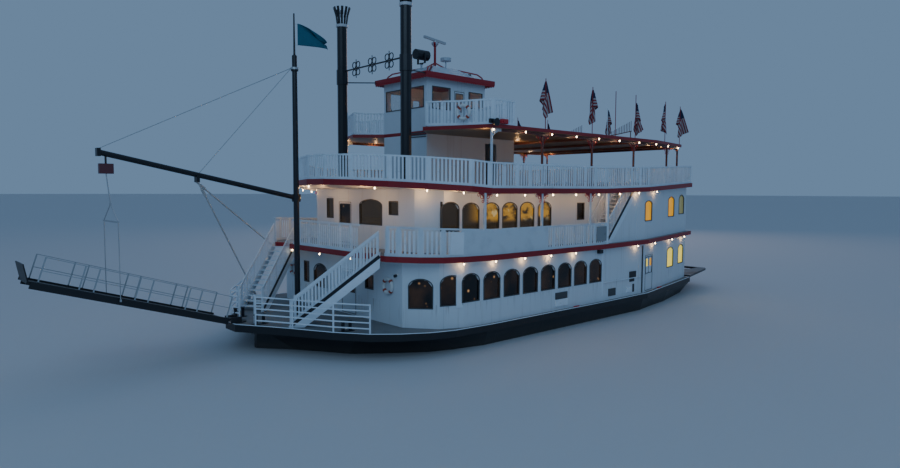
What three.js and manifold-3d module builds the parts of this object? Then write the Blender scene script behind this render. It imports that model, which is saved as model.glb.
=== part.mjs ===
// A stern-wheel river excursion boat: flat-bottomed hull, three decks, pilothouse, twin stacks, a mast
// and boom that carry the bow gangway, and a paddle wheel behind the transom.
// Millimetres. X runs forward, Y to port, Z up. Z is 0 at the hull's flat bottom; X is 0 at the third
// window from the front of the main-deck cabin.

import * as THREE from 'three';
import { mergeVertices } from 'three/addons/utils/BufferGeometryUtils.js';
import Module from 'manifold-3d';

const wasm = await Module();
wasm.setup();

// Levels
const WATER = 1050;
const MAIN_DECK = WATER + 950;
const SECOND_DECK = WATER + 3830;
const THIRD_DECK = WATER + 6570;
const ROOF_DECK = WATER + 9250;
const GUARD_DEPTH = 260;
const DECK_DEPTH = 230;
const ROOF_DEPTH = 160;

// The running gap that pieces keep where one rests on the other, and the gap that moving pieces keep
const SEAT = 0.3;
const CLEAR = 8;
const WALL = 100;

// How far a cutter passes a face, and further than any piece reaches
const OVER = 50;
const FAR = 30000;

// How far each deck rises towards the bow and the stern: x, then the rise of the main deck, the second
// deck and the third deck. Between the rows and between the levels the rise is straight, and the flat
// bottom of the hull doesn't rise.
const RISE_LEVELS = [0, MAIN_DECK, SECOND_DECK, THIRD_DECK];
const RISE = [
  [-25000, 100, 130, 390],
  [-20300, 100, 130, 390],
  [-13000, 30, 50, 100],
  [-9000, 0, 0, 0],
  [-1000, 0, 0, 0],
  [1500, 50, 50, 210],
  [3500, 120, 100, 380],
  [6600, 220, 300, 600],
  [8000, 220, 300, 600],
];

// Finishes
const PAINT = {
  white: [0xdfe6ea, 0.55, 0.0],
  black: [0x15161a, 0.5, 0.1],
  red: [0x7d1420, 0.5, 0.0],
  deck: [0x8a8f92, 0.8, 0.0],
  brown: [0x6d5540, 0.7, 0.0],
  steel: [0x9aa0a4, 0.45, 0.6],
  wheel: [0x8c1c22, 0.6, 0.0],
  teal: [0x1f5f6d, 0.8, 0.0],
  engine: [0x55605a, 0.6, 0.2],
};

// Solids from three.js shapes
function solidOf(geometry) {
  const bare = geometry.clone();
  bare.deleteAttribute('normal');
  bare.deleteAttribute('uv');
  const merged = mergeVertices(bare, 1e-3);
  return new wasm.Manifold(new wasm.Mesh({
    numProp: 3,
    vertProperties: new Float32Array(merged.attributes.position.array),
    triVerts: new Uint32Array(merged.index.array),
  }));
}

function geometryOf(solid) {
  const mesh = solid.getMesh();
  const geometry = new THREE.BufferGeometry();
  geometry.setAttribute('position', new THREE.BufferAttribute(new Float32Array(mesh.vertProperties), 3));
  geometry.setIndex(new THREE.BufferAttribute(new Uint32Array(mesh.triVerts), 1));
  return geometry;
}

const join = (solids) => wasm.Manifold.union(solids);
const cut = (solid, tools) => (tools.length ? solid.subtract(join(tools)) : solid);

function box(x0, x1, y0, y1, z0, z1) {
  const geometry = new THREE.BoxGeometry(x1 - x0, y1 - y0, z1 - z0);
  geometry.translate((x0 + x1) / 2, (y0 + y1) / 2, (z0 + z1) / 2);
  return solidOf(geometry);
}

const shapeOf = (points) => new THREE.Shape(points.map(([x, y]) => new THREE.Vector2(x, y)));

// A flat plate of a plan outline
function plate(outline, z0, z1) {
  const geometry = new THREE.ExtrudeGeometry(shapeOf(outline), { depth: z1 - z0, bevelEnabled: false });
  geometry.translate(0, 0, z0);
  return solidOf(geometry);
}

// A side-view outline of x and z, carried from y0 to y1
function profile(outline, y0, y1) {
  const geometry = new THREE.ExtrudeGeometry(shapeOf(outline), { depth: y1 - y0, bevelEnabled: false });
  geometry.rotateX(Math.PI / 2);
  geometry.translate(0, y1, 0);
  return solidOf(geometry);
}

// A shape drawn in a frame of its own: u along the run, v up, and its thickness to the right of the run
function standing(shape, from, to, thickness, across = 0) {
  const run = new THREE.Vector3(to[0] - from[0], to[1] - from[1], 0).normalize();
  const up = new THREE.Vector3(0, 0, 1);
  const right = new THREE.Vector3().crossVectors(run, up);
  const cutAs = { depth: thickness, bevelEnabled: false, curveSegments: 2 };
  const geometry = new THREE.ExtrudeGeometry(shape, cutAs);
  const frame = new THREE.Matrix4().makeBasis(run, up, right);
  frame.setPosition(from[0] + right.x * across, from[1] + right.y * across, 0);
  geometry.applyMatrix4(frame);
  return solidOf(geometry);
}

// A straight bar of rectangular section between two points
function bar(from, to, width, height) {
  const a = new THREE.Vector3(...from);
  const b = new THREE.Vector3(...to);
  const run = new THREE.Vector3().subVectors(b, a);
  const geometry = new THREE.BoxGeometry(run.length(), width, height);
  const along = run.clone().normalize();
  const side = new THREE.Vector3(-along.y, along.x, 0);
  if (side.length() < 1e-6) side.set(0, 1, 0);
  side.normalize();
  const frame = new THREE.Matrix4().makeBasis(along, side, new THREE.Vector3().crossVectors(along, side));
  frame.setPosition(a.add(b).multiplyScalar(0.5));
  geometry.applyMatrix4(frame);
  return solidOf(geometry);
}

// A round rod between two points
function rod(from, to, radius, sides = 8, endRadius = radius) {
  const a = new THREE.Vector3(...from);
  const b = new THREE.Vector3(...to);
  const run = new THREE.Vector3().subVectors(b, a);
  const geometry = new THREE.CylinderGeometry(endRadius, radius, run.length(), sides);
  const turn = new THREE.Quaternion().setFromUnitVectors(new THREE.Vector3(0, 1, 0), run.clone().normalize());
  geometry.applyQuaternion(turn);
  geometry.translate(...a.add(b).multiplyScalar(0.5).toArray());
  return solidOf(geometry);
}

// A turned shape about an upright axis at x, y, from a closed profile of radius and height
function turned(x, y, outline, sides) {
  const points = outline.map(([r, z]) => new THREE.Vector2(r, z));
  const geometry = new THREE.LatheGeometry(points, sides);
  geometry.rotateX(Math.PI / 2);
  geometry.translate(x, y, 0);
  return solidOf(geometry);
}

// The plan outline moved inwards by a distance; the outline runs clockwise seen from above
function inset(outline, distance) {
  const count = outline.length;
  const edges = outline.map(([x, y], i) => {
    const [nx, ny] = outline[(i + 1) % count];
    const length = Math.hypot(nx - x, ny - y);
    const right = [(ny - y) / length, -(nx - x) / length];
    return { x: x + right[0] * distance, y: y + right[1] * distance, dx: nx - x, dy: ny - y };
  });
  return outline.map((_, i) => {
    const before = edges[(i + count - 1) % count];
    const after = edges[i];
    const across = before.dx * after.dy - before.dy * after.dx;
    const s = ((after.x - before.x) * after.dy - (after.y - before.y) * after.dx) / across;
    return [before.x + before.dx * s, before.y + before.dy * s];
  });
}

// A plan outline from its port half, which runs from aft forward, with its mirror image
const mirrored = (half) => [...half, ...half.slice().reverse().map(([x, y]) => [x, -y])];
const portSide = (outline) => outline.slice(0, outline.length / 2);

// The rise of a deck at x and height z
function riseAt(x, z) {
  const next = Math.max(1, RISE.findIndex(([station]) => station >= x));
  const low = RISE[next - 1];
  const high = RISE[next];
  const t = (x - low[0]) / (high[0] - low[0]);
  const rises = [0, ...[1, 2, 3].map((deck) => low[deck] + (high[deck] - low[deck]) * t)];
  if (z <= RISE_LEVELS[0]) return rises[0];
  if (z >= RISE_LEVELS[3]) return rises[3];
  const i = RISE_LEVELS.findIndex((level) => z < level) - 1;
  const u = (z - RISE_LEVELS[i]) / (RISE_LEVELS[i + 1] - RISE_LEVELS[i]);
  return rises[i] + (rises[i + 1] - rises[i]) * u;
}

// The same faces with a corner wherever an edge passes a plane of the given axis
function split(faces, points, axis, value) {
  const middles = new Map();
  const side = (i) => {
    const d = points[i][axis] - value;
    return Math.abs(d) < 0.01 ? 0 : Math.sign(d);
  };
  const middle = (i, j) => {
    const key = i < j ? `${i} ${j}` : `${j} ${i}`;
    if (!middles.has(key)) {
      const [a, b] = i < j ? [points[i], points[j]] : [points[j], points[i]];
      const t = (value - a[axis]) / (b[axis] - a[axis]);
      const point = a.map((v, k) => v + (b[k] - v) * t);
      point[axis] = value;
      middles.set(key, points.push(point) - 1);
    }
    return middles.get(key);
  };
  const result = [];
  for (const face of faces) {
    const sides = face.map(side);
    if (!(sides.includes(1) && sides.includes(-1))) {
      result.push(face);
      continue;
    }
    const lone = [0, 1, 2].find((k) => {
      const others = [sides[(k + 1) % 3], sides[(k + 2) % 3]];
      return sides[k] !== 0 && !others.includes(sides[k]);
    });
    const [a, b, c] = [face[lone], face[(lone + 1) % 3], face[(lone + 2) % 3]];
    if (side(b) === 0) {
      const ac = middle(a, c);
      result.push([a, b, ac], [b, c, ac]);
    } else if (side(c) === 0) {
      const ab = middle(a, b);
      result.push([a, ab, c], [ab, b, c]);
    } else {
      const ab = middle(a, b);
      const ac = middle(a, c);
      result.push([a, ab, ac], [ab, b, c], [ab, c, ac]);
    }
  }
  return result;
}

// A solid that follows the rise of the decks. A piece that only stands on a deck gives its level, so
// that all of it is lifted as its foot is.
function risen(solid, level) {
  const mesh = solid.getMesh();
  const points = [];
  for (let i = 0; i < mesh.vertProperties.length; i += 3) {
    points.push(Array.from(mesh.vertProperties.subarray(i, i + 3)));
  }
  let faces = [];
  for (let i = 0; i < mesh.triVerts.length; i += 3) faces.push(Array.from(mesh.triVerts.subarray(i, i + 3)));
  for (const [station] of RISE) faces = split(faces, points, 0, station);
  if (level === undefined) {
    for (const height of RISE_LEVELS) faces = split(faces, points, 2, height);
  }
  for (const point of points) point[2] += riseAt(point[0], level ?? point[2]);
  const geometry = new THREE.BufferGeometry();
  geometry.setAttribute('position', new THREE.BufferAttribute(new Float32Array(points.flat()), 3));
  geometry.setIndex(faces.flat());
  return solidOf(geometry);
}

const boat = new THREE.Group();

function add(name, paint, solid) {
  const [color, roughness, metalness] = PAINT[paint];
  const material = new THREE.MeshStandardMaterial({ color, roughness, metalness, flatShading: true });
  const mesh = new THREE.Mesh(geometryOf(solid), material);
  mesh.name = name;
  boat.add(mesh);
}

// Both sides: the port solid and its mirror image
function addPair(name, paint, solid) {
  add(`${name}_port`, paint, solid);
  add(`${name}_starboard`, paint, solid.mirror([0, 1, 0]));
}

// Hull: stations from the transom to the stem. Columns: x, height of the bottom, half width of the
// bottom, half width at the deck
const HULL_TOP = MAIN_DECK - GUARD_DEPTH;
const STATIONS = [
  [-20300, 980, 4300, 4950],
  [-16500, 0, 4900, 5620],
  [-13000, 0, 5600, 6140],
  [-1000, 0, 5600, 6140],
  [1500, 0, 4800, 5600],
  [4000, 0, 2900, 3900],
  [6350, 0, 60, 120],
];

function loftedHull() {
  const points = [];
  const faces = [];
  for (const [x, bottom, low, high] of STATIONS) {
    points.push(x, low, bottom, x, high, HULL_TOP, x, -high, HULL_TOP, x, -low, bottom);
  }
  const last = (STATIONS.length - 1) * 4;
  for (let i = 0; i < last; i += 4) {
    for (let k = 0; k < 4; k += 1) {
      const n = (k + 1) % 4;
      faces.push(i + k, i + 4 + n, i + 4 + k, i + k, i + n, i + 4 + n);
    }
  }
  faces.push(0, 2, 1, 0, 3, 2, last, last + 1, last + 2, last, last + 2, last + 3);
  const geometry = new THREE.BufferGeometry();
  geometry.setAttribute('position', new THREE.BufferAttribute(new Float32Array(points), 3));
  geometry.setIndex(faces);
  return solidOf(geometry);
}

// Plan outlines, port half, from aft forward. Columns: x, y
const MAIN_DECK_EDGE = mirrored([
  [-20300, 5000], [-13000, 6390], [1000, 6390], [2200, 6180], [3300, 5750], [4250, 5130], [5180, 4030],
  [6080, 2540], [6950, 1200], [7400, 450],
]);
const SECOND_DECK_EDGE = mirrored([
  [-20550, 4850], [-13000, 6390], [600, 6390], [1500, 6200], [2300, 5750], [2900, 5100], [3150, 4650],
]);
const THIRD_DECK_EDGE = mirrored([
  [-20550, 4850], [-13000, 6390], [-900, 6390], [0, 6200], [1300, 5000], [2300, 3700], [3100, 2100],
  [3500, 700],
]);
const ROOF_EDGE = mirrored([
  [-18600, 5100], [-14500, 5900], [-1600, 5900], [-300, 2750], [-1450, 1650],
]);
const MAIN_CABIN = mirrored([[-20200, 4650], [-13000, 6140], [400, 6140], [1400, 5800], [2400, 4720]]);
const SECOND_CABIN = mirrored([
  [-20200, 4650], [-13000, 6140], [-12100, 6140], [-12100, 4900], [350, 4900], [1100, 3900],
]);

// Where a port outline stands at x, and which way it runs there
function wallAt(outline, x) {
  const side = portSide(outline);
  const i = side.findIndex(([start], k) => k + 1 < side.length && start <= x && x <= side[k + 1][0]);
  const [a, b] = [side[i], side[i + 1]];
  const t = (x - a[0]) / (b[0] - a[0]);
  const length = Math.hypot(b[0] - a[0], b[1] - a[1]);
  return { x, y: a[1] + (b[1] - a[1]) * t, dx: (b[0] - a[0]) / length, dy: (b[1] - a[1]) / length };
}

// An opening with a flat or an arched head
function openingShape(width, sill, spring, crown) {
  const shape = new THREE.Shape();
  shape.moveTo(-width / 2, sill);
  shape.lineTo(width / 2, sill);
  shape.lineTo(width / 2, spring);
  if (crown > spring) shape.quadraticCurveTo(width * 0.36, crown, 0, crown);
  if (crown > spring) shape.quadraticCurveTo(-width * 0.36, crown, -width / 2, spring);
  else shape.lineTo(-width / 2, spring);
  shape.closePath();
  return shape;
}

// A cutter through a port wall at x
function sideOpening(outline, x, width, sill, spring, crown) {
  const { y, dx, dy } = wallAt(outline, x);
  const out = [x - dy * OVER, y + dx * OVER];
  const shape = openingShape(width, sill, spring, crown);
  return standing(shape, out, [out[0] + dx, out[1] + dy], WALL + 2 * OVER);
}

// A cutter through a wall that faces forward or aft, at y
function crossOpening(x, y, width, sill, spring, crown) {
  const shape = openingShape(width, sill, spring, crown);
  return standing(shape, [x + WALL + OVER, y], [x + WALL + OVER, y - 1], 2 * (WALL + OVER));
}

// Openings in the cabins' sides. Columns: x, width, sill and spring and crown above the deck
const MAIN_WINDOW = [960, 1030, 1830, 2150];
const MAIN_SIDE = [
  [1900, 960, 800, 1650, 1960],
  [900, 960, 930, 1790, 2110],
  ...[0, -1220, -2440, -3660, -4880, -6100, -7320, -8540].map((x) => [x, ...MAIN_WINDOW]),
  [-17300, 1150, 950, 1850, 2100],
  [-19300, 1000, 980, 1850, 2110],
];
const SECOND_SIDE = [
  ...[0, -1180, -2430, -3630, -4820, -6080].map((x) => [x, 960, 900, 1800, 2100]),
  [-8930, 560, 1190, 2010, 2010],
  [-13480, 1050, 950, 1850, 2010],
  [-17290, 1100, 970, 1900, 2100],
  [-19240, 1000, 1020, 1900, 2140],
];
// Openings in the fronts. Columns: y, width, sill, spring, crown
const MAIN_FRONT = [
  [2475, 550, 1310, 1870, 1870],
  [-1455, 1150, 950, 1650, 2010],
  [-2715, 430, 1070, 2030, 2030],
];
const SECOND_FRONT = [
  [2460, 620, 1490, 2040, 2040],
  [750, 1740, 1000, 1850, 2110],
  [-2650, 560, 1200, 2110, 2110],
];
// Doors: where the opening's middle is, its width, its sill and its head above the deck
const SIDE_DOOR = { x: -13700, width: 1240, sill: 50, head: 2050 };
const MAIN_FRONT_DOOR = { y: 930, width: 1200, sill: 60, head: 2040 };
const SECOND_FRONT_DOOR = { y: -1335, width: 1150, sill: 60, head: 2040 };
const PILOT_DOOR = { x: -3500, width: 760, sill: 60, head: 2020 };
// A leaf's thickness, its gaps at the head, sill and latch and at its hinge, and its pane
const LEAF = { thick: 45, gap: 8, hinge: 0.5, paneSide: 140, paneSill: 1000, paneHead: 160 };

function cabin(outline, deck, ceiling, side, front, doors) {
  const floor = deck + SEAT;
  const top = ceiling - SEAT;
  const frontX = outline[outline.length / 2 - 1][0];
  let ring = plate(outline, floor, top).subtract(plate(inset(outline, WALL), floor - OVER, top + OVER));
  for (const [x, width, sill, spring, crown] of side) {
    const tool = sideOpening(outline, x, width, deck + sill, deck + spring, deck + crown);
    ring = cut(ring, [tool, tool.mirror([0, 1, 0])]);
  }
  for (const [y, width, sill, spring, crown] of front) {
    ring = ring.subtract(crossOpening(frontX, y, width, deck + sill, deck + spring, deck + crown));
  }
  return cut(ring, doors);
}

// The four walls of a cabin: its front, its two sides and its back
function addWalls(name, ring, frontX, backX) {
  const half = SEAT / 2;
  add(`${name}_front_wall`, 'white', risen(ring.intersect(box(frontX + half, FAR, -FAR, FAR, 0, FAR))));
  add(`${name}_aft_wall`, 'white', risen(ring.intersect(box(-FAR, backX - half, -FAR, FAR, 0, FAR))));
  const side = ring.intersect(box(backX + half, frontX - half, 0, FAR, 0, FAR));
  addPair(`${name}_side_wall`, 'white', risen(side));
}

// Hull, decks and guards
add('hull', 'black', risen(loftedHull()));
add('main_deck', 'deck', risen(plate(MAIN_DECK_EDGE, HULL_TOP + SEAT, MAIN_DECK)));

// The second and third decks have a well over each aft stair
const AFT_STAIR = { head: [-11950, 6130], foot: [-9400, 6130], width: 1130, risers: 14 };
const FORWARD_STAIR = { head: [3220, 4390], foot: [6060, 2290], width: 1150, risers: 14 };

// The rectangle under a flight, grown sideways, to cut out of the deck that it reaches
function stairWell(stair, length, z) {
  const grow = 20;
  const run = Math.hypot(stair.foot[0] - stair.head[0], stair.foot[1] - stair.head[1]);
  const [dx, dy] = [(stair.foot[0] - stair.head[0]) / run, (stair.foot[1] - stair.head[1]) / run];
  const from = [stair.head[0] - dy * grow, stair.head[1] + dx * grow];
  const [low, high] = [z - DECK_DEPTH - OVER, z + OVER];
  const shape = shapeOf([[0, low], [length, low], [length, high], [0, high]]);
  return standing(shape, from, [from[0] + dx, from[1] + dy], stair.width + 2 * grow);
}
const bothSides = (solid) => [solid, solid.mirror([0, 1, 0])];

const secondDeck = plate(SECOND_DECK_EDGE, SECOND_DECK - DECK_DEPTH, SECOND_DECK);
add('second_deck', 'deck', risen(cut(secondDeck, bothSides(stairWell(FORWARD_STAIR, 3000, SECOND_DECK)))));
const thirdDeck = plate(THIRD_DECK_EDGE, THIRD_DECK - DECK_DEPTH, THIRD_DECK);
add('third_deck', 'deck', risen(cut(thirdDeck, bothSides(stairWell(AFT_STAIR, 2300, THIRD_DECK)))));

// A hinged leaf in a door's opening, its outer face in line with the wall's. The run goes along that
// face towards the hinge, so the hinge is at the leaf's outer edge.
function doorLeaf(deck, door, middle, run) {
  const half = door.width / 2;
  const [left, right] = [-half + LEAF.gap, half - LEAF.hinge];
  const [low, high] = [deck + door.sill + LEAF.gap, deck + door.head - LEAF.gap];
  const leaf = shapeOf([[left, low], [right, low], [right, high], [left, high]]);
  const pane = [
    [left + LEAF.paneSide, deck + LEAF.paneSill], [right - LEAF.paneSide, deck + LEAF.paneSill],
    [right - LEAF.paneSide, high - LEAF.paneHead], [left + LEAF.paneSide, high - LEAF.paneHead],
  ];
  const towards = [middle[0] + run[0], middle[1] + run[1]];
  const hole = standing(shapeOf(pane), middle, towards, LEAF.thick + 2 * OVER, -OVER);
  return risen(standing(leaf, middle, towards, LEAF.thick).subtract(hole));
}
const openingOf = (deck, door) => [door.width, deck + door.sill, deck + door.head, deck + door.head];
const sideLeaf = (outline, deck, door) => {
  const { x, y, dx, dy } = wallAt(outline, door.x);
  return doorLeaf(deck, door, [x, y], [dx, dy]);
};
const frontLeaf = (deck, door, x) => doorLeaf(deck, door, [x, door.y], [0, -1]);
const frontOf = (outline) => outline[outline.length / 2 - 1][0];
const backOf = (outline) => outline[0][0];

// Main cabin
const mainRing = cabin(MAIN_CABIN, MAIN_DECK, SECOND_DECK - DECK_DEPTH, MAIN_SIDE, MAIN_FRONT, [
  ...bothSides(sideOpening(MAIN_CABIN, SIDE_DOOR.x, ...openingOf(MAIN_DECK, SIDE_DOOR))),
  crossOpening(frontOf(MAIN_CABIN), MAIN_FRONT_DOOR.y, ...openingOf(MAIN_DECK, MAIN_FRONT_DOOR)),
]);
addWalls('main_cabin', mainRing, frontOf(MAIN_CABIN) - WALL, backOf(MAIN_CABIN) + WALL);
addPair('side_door', 'white', sideLeaf(MAIN_CABIN, MAIN_DECK, SIDE_DOOR));
add('main_front_door', 'white', frontLeaf(MAIN_DECK, MAIN_FRONT_DOOR, frontOf(MAIN_CABIN)));

// Second-deck cabin
const secondRing = cabin(SECOND_CABIN, SECOND_DECK, THIRD_DECK - DECK_DEPTH, SECOND_SIDE, SECOND_FRONT, [
  crossOpening(frontOf(SECOND_CABIN), SECOND_FRONT_DOOR.y, ...openingOf(SECOND_DECK, SECOND_FRONT_DOOR)),
]);
addWalls('second_cabin', secondRing, frontOf(SECOND_CABIN) - WALL, backOf(SECOND_CABIN) + WALL);
add('second_front_door', 'white', frontLeaf(SECOND_DECK, SECOND_FRONT_DOOR, frontOf(SECOND_CABIN)));

// Stairs: two stringers, treads between them and a picket rail on each side
const STRINGER = { over: 60, under: 260, thick: 50 };
const TREAD = { thick: 40, inset: 20, lap: 20 };
const STAIR_RAIL = { low: 40, sill: 120, head: 850, top: 920, thick: 40, picket: 45, pitch: 640 };

function stairFlight(stair, lowDeck, highDeck) {
  const run = Math.hypot(stair.foot[0] - stair.head[0], stair.foot[1] - stair.head[1]);
  const heel = stair.foot[0] + ((stair.head[0] - stair.foot[0]) * STRINGER.under) / (highDeck - lowDeck);
  const low = lowDeck + Math.max(riseAt(stair.foot[0], lowDeck), riseAt(heel, lowDeck));
  const high = highDeck + riseAt(stair.head[0], highDeck);
  const slope = (high - low) / run;
  const line = (u, above) => high + above - slope * u;
  const sheet = (shape, across, thickness) => standing(shape, stair.head, stair.foot, thickness, across);
  const stringer = shapeOf([
    [SEAT, line(SEAT, STRINGER.over)], [run, line(run, STRINGER.over)], [run, low + SEAT],
    [(high - low - STRINGER.under) / slope, low + SEAT], [SEAT, line(SEAT, -STRINGER.under)],
  ]);
  const railEnd = run - 60;
  const rail = shapeOf([
    [60, line(60, STAIR_RAIL.low)], [railEnd, line(railEnd, STAIR_RAIL.low)],
    [railEnd, line(railEnd, STAIR_RAIL.top)], [60, line(60, STAIR_RAIL.top)],
  ]);
  const gaps = [];
  const count = Math.round((railEnd - 60) / STAIR_RAIL.pitch);
  const pitch = (railEnd - 60 - STAIR_RAIL.picket) / count;
  for (let i = 0; i < count; i += 1) {
    const a = 60 + STAIR_RAIL.picket + i * pitch;
    const b = a + pitch - STAIR_RAIL.picket;
    const gap = shapeOf([
      [a, line(a, STAIR_RAIL.sill)], [b, line(b, STAIR_RAIL.sill)],
      [b, line(b, STAIR_RAIL.head)], [a, line(a, STAIR_RAIL.head)],
    ]);
    gaps.push(sheet(gap, -OVER, stair.width + 2 * OVER));
  }
  const across = stair.width - STRINGER.thick;
  const parts = [sheet(stringer, 0, STRINGER.thick), sheet(stringer, across, STRINGER.thick)];
  const middle = (STRINGER.thick - STAIR_RAIL.thick) / 2;
  const rails = join([sheet(rail, middle, STAIR_RAIL.thick), sheet(rail, across + middle, STAIR_RAIL.thick)]);
  parts.push(cut(rails, gaps));
  const riser = (high - low) / stair.risers;
  const going = run / stair.risers;
  for (let k = 1; k < stair.risers; k += 1) {
    const top = high - k * riser;
    const [near, far] = [(k - 1) * going + TREAD.lap, k * going + TREAD.lap];
    const tread = shapeOf([[near, top - TREAD.thick], [far, top - TREAD.thick], [far, top], [near, top]]);
    parts.push(sheet(tread, TREAD.inset, stair.width - 2 * TREAD.inset));
  }
  return join(parts);
}
addPair('forward_stair', 'white', stairFlight(FORWARD_STAIR, MAIN_DECK, SECOND_DECK));

// The wall beside each aft flight, from deck to deck, with a front edge that slopes as the flight does
const AFT_WALL = { back: -12100 + SEAT, inner: 6050, outer: 6110 };
const floorAt = (x) => SECOND_DECK + riseAt(x, SECOND_DECK) + SEAT;
const ceilingAt = (x) => THIRD_DECK - DECK_DEPTH + riseAt(x, THIRD_DECK - DECK_DEPTH) - SEAT;
const aftWall = profile([
  [AFT_WALL.back, floorAt(AFT_WALL.back)], [AFT_STAIR.foot[0] - 60, floorAt(AFT_STAIR.foot[0] - 60)],
  [AFT_STAIR.head[0] + 30, ceilingAt(AFT_STAIR.head[0] + 30)], [AFT_WALL.back, ceilingAt(AFT_WALL.back)],
], AFT_WALL.inner, AFT_WALL.outer);
addPair('aft_stair', 'white', join([stairFlight(AFT_STAIR, SECOND_DECK, THIRD_DECK), aftWall]));

// Picket rails: a ring inside the deck's edge, with a toe board, a top rail and pickets between gaps
const PICKET_RAIL = { height: 1070, toe: 110, head: 70, thick: 50, picket: 90, pitch: 800 };
const EDGE_GAP = 60;

function picketRing(outline, level) {
  const { height, toe, head, thick, picket, pitch } = PICKET_RAIL;
  const outer = inset(outline, EDGE_GAP);
  const inner = inset(outline, EDGE_GAP + thick);
  const hollow = plate(inner, level - OVER, level + height + OVER);
  const ring = plate(outer, level + SEAT, level + height).subtract(hollow);
  const gaps = [];
  outer.forEach((from, i) => {
    const to = outer[(i + 1) % outer.length];
    const length = Math.hypot(to[0] - from[0], to[1] - from[1]);
    const count = Math.max(1, Math.round((length - picket) / pitch));
    const step = (length - picket) / count;
    for (let k = 0; k < count; k += 1) {
      const a = picket + k * step;
      const b = a + step - picket;
      const [low, high] = [level + toe, level + height - head];
      const gap = shapeOf([[a, low], [b, low], [b, high], [a, high]]);
      gaps.push(standing(gap, from, to, thick + 2 * OVER, -OVER));
    }
  });
  return cut(ring, gaps);
}

// Scrolled brackets in the corners between a post and what it carries: flat plates with a curved lower
// edge and a round hole, on one or both sides of the post
const BRACKET = {
  reach: 360, drop: 430, lip: 40, heel: 30, thick: 24, hole: 46, at: 92,
  curve: [[0.62, 0.12], [0.34, 0.30], [0.14, 0.60]],
};
function bracket(x, y, top, side) {
  const { reach, drop, lip, heel, thick, hole, at, curve } = BRACKET;
  const bow = curve.map(([u, v]) => [u * reach, -lip - v * (drop - lip)]);
  const edge = [[0, 0], [reach, 0], [reach, -lip], ...bow, [heel, -drop], [0, -drop]];
  const shape = new THREE.Shape(edge.map(([u, v]) => new THREE.Vector2(x + side * u, top + v)));
  const [middleX, middleZ] = [x + side * at, top - at];
  shape.holes.push(new THREE.Path([0, 1, 2, 3, 4, 5].map((k) => new THREE.Vector2(
    middleX + hole * Math.cos((k * Math.PI) / 3), middleZ + hole * Math.sin((k * Math.PI) / 3),
  ))));
  const geometry = new THREE.ExtrudeGeometry(shape, { depth: thick, bevelEnabled: false });
  geometry.rotateX(Math.PI / 2);
  geometry.translate(0, y + thick / 2, 0);
  return solidOf(geometry);
}

// The rails of the second deck: one forward between the stairs and one on each side
const secondRails = picketRing(SECOND_DECK_EDGE, SECOND_DECK);
const FRONT_RAIL_END = 2750;
const SIDE_RAIL_END = 4480;
add('second_deck_front_rail', 'white',
  risen(secondRails.intersect(box(2900, FAR, -FRONT_RAIL_END, FRONT_RAIL_END, 0, FAR))));
// Each side rail stands between the posts that carry the third deck. Columns: x
const SECOND_POST = { half: 45, y: 6300, x: [-7780, -4200, -620] };
const postHead = THIRD_DECK - DECK_DEPTH - SEAT;
const squarePost = (x, y, half, z0, z1) => box(x - half, x + half, y - half, y + half, z0, z1);
const secondPosts = SECOND_POST.x.map(
  (x) => squarePost(x, SECOND_POST.y, SECOND_POST.half, SECOND_DECK + SEAT, postHead),
);
const bothWays = (x, y, top) => [-1, 1].map((side) => bracket(x, y, top, side));
const secondBrackets = SECOND_POST.x.flatMap((x) => bothWays(x, SECOND_POST.y, postHead));
// A blank board along the outside of the rail
const BOARD = { from: -4600, to: 600, face: 6345, thick: 20, low: 110, high: 1000 };
const board = box(BOARD.from, BOARD.to, BOARD.face - BOARD.thick, BOARD.face,
  SECOND_DECK + BOARD.low, SECOND_DECK + BOARD.high);
const sideRail = secondRails.intersect(box(AFT_STAIR.foot[0] + 60, FAR, SIDE_RAIL_END, FAR, 0, FAR));
addPair('second_deck_rail', 'white', risen(join([sideRail, board, ...secondPosts, ...secondBrackets])));
add('third_deck_rail', 'white', risen(picketRing(THIRD_DECK_EDGE, THIRD_DECK)));

// Bow rails: five pipes on posts along the edge of the main deck
const BOW_RAIL = { height: 1120, pipe: 44, pipes: 5, post: 25, inset: 90, end: [6700, 700] };
const bowEdge = [...portSide(inset(MAIN_DECK_EDGE, BOW_RAIL.inset)).slice(5, 9), BOW_RAIL.end];
const bowParts = bowEdge.map(
  ([x, y]) => squarePost(x, y, BOW_RAIL.post, MAIN_DECK + SEAT, MAIN_DECK + BOW_RAIL.height),
);
for (let k = 1; k <= BOW_RAIL.pipes; k += 1) {
  const z = MAIN_DECK + (BOW_RAIL.height * k) / BOW_RAIL.pipes - BOW_RAIL.post;
  for (let i = 0; i + 1 < bowEdge.length; i += 1) {
    bowParts.push(bar([...bowEdge[i], z], [...bowEdge[i + 1], z], BOW_RAIL.pipe, BOW_RAIL.pipe));
  }
}
addPair('bow_rail', 'white', risen(join(bowParts)));

// Lower house on the third deck and the pilothouse above it
const HOUSE = { front: -1450, back: -7450, half: 1650 };
const PILOT = { front: -1450, back: -5250, half: 1650, top: WATER + 11700 };
const houseOutline = (house) => mirrored([[house.back, house.half], [house.front, house.half]]);
const EAVE = {
  front: -1130, back: -5620, half: 1990, depth: 200, crown: 560, crownFoot: 2350, crownTop: 1100,
  finial: WATER + 12920,
};

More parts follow.
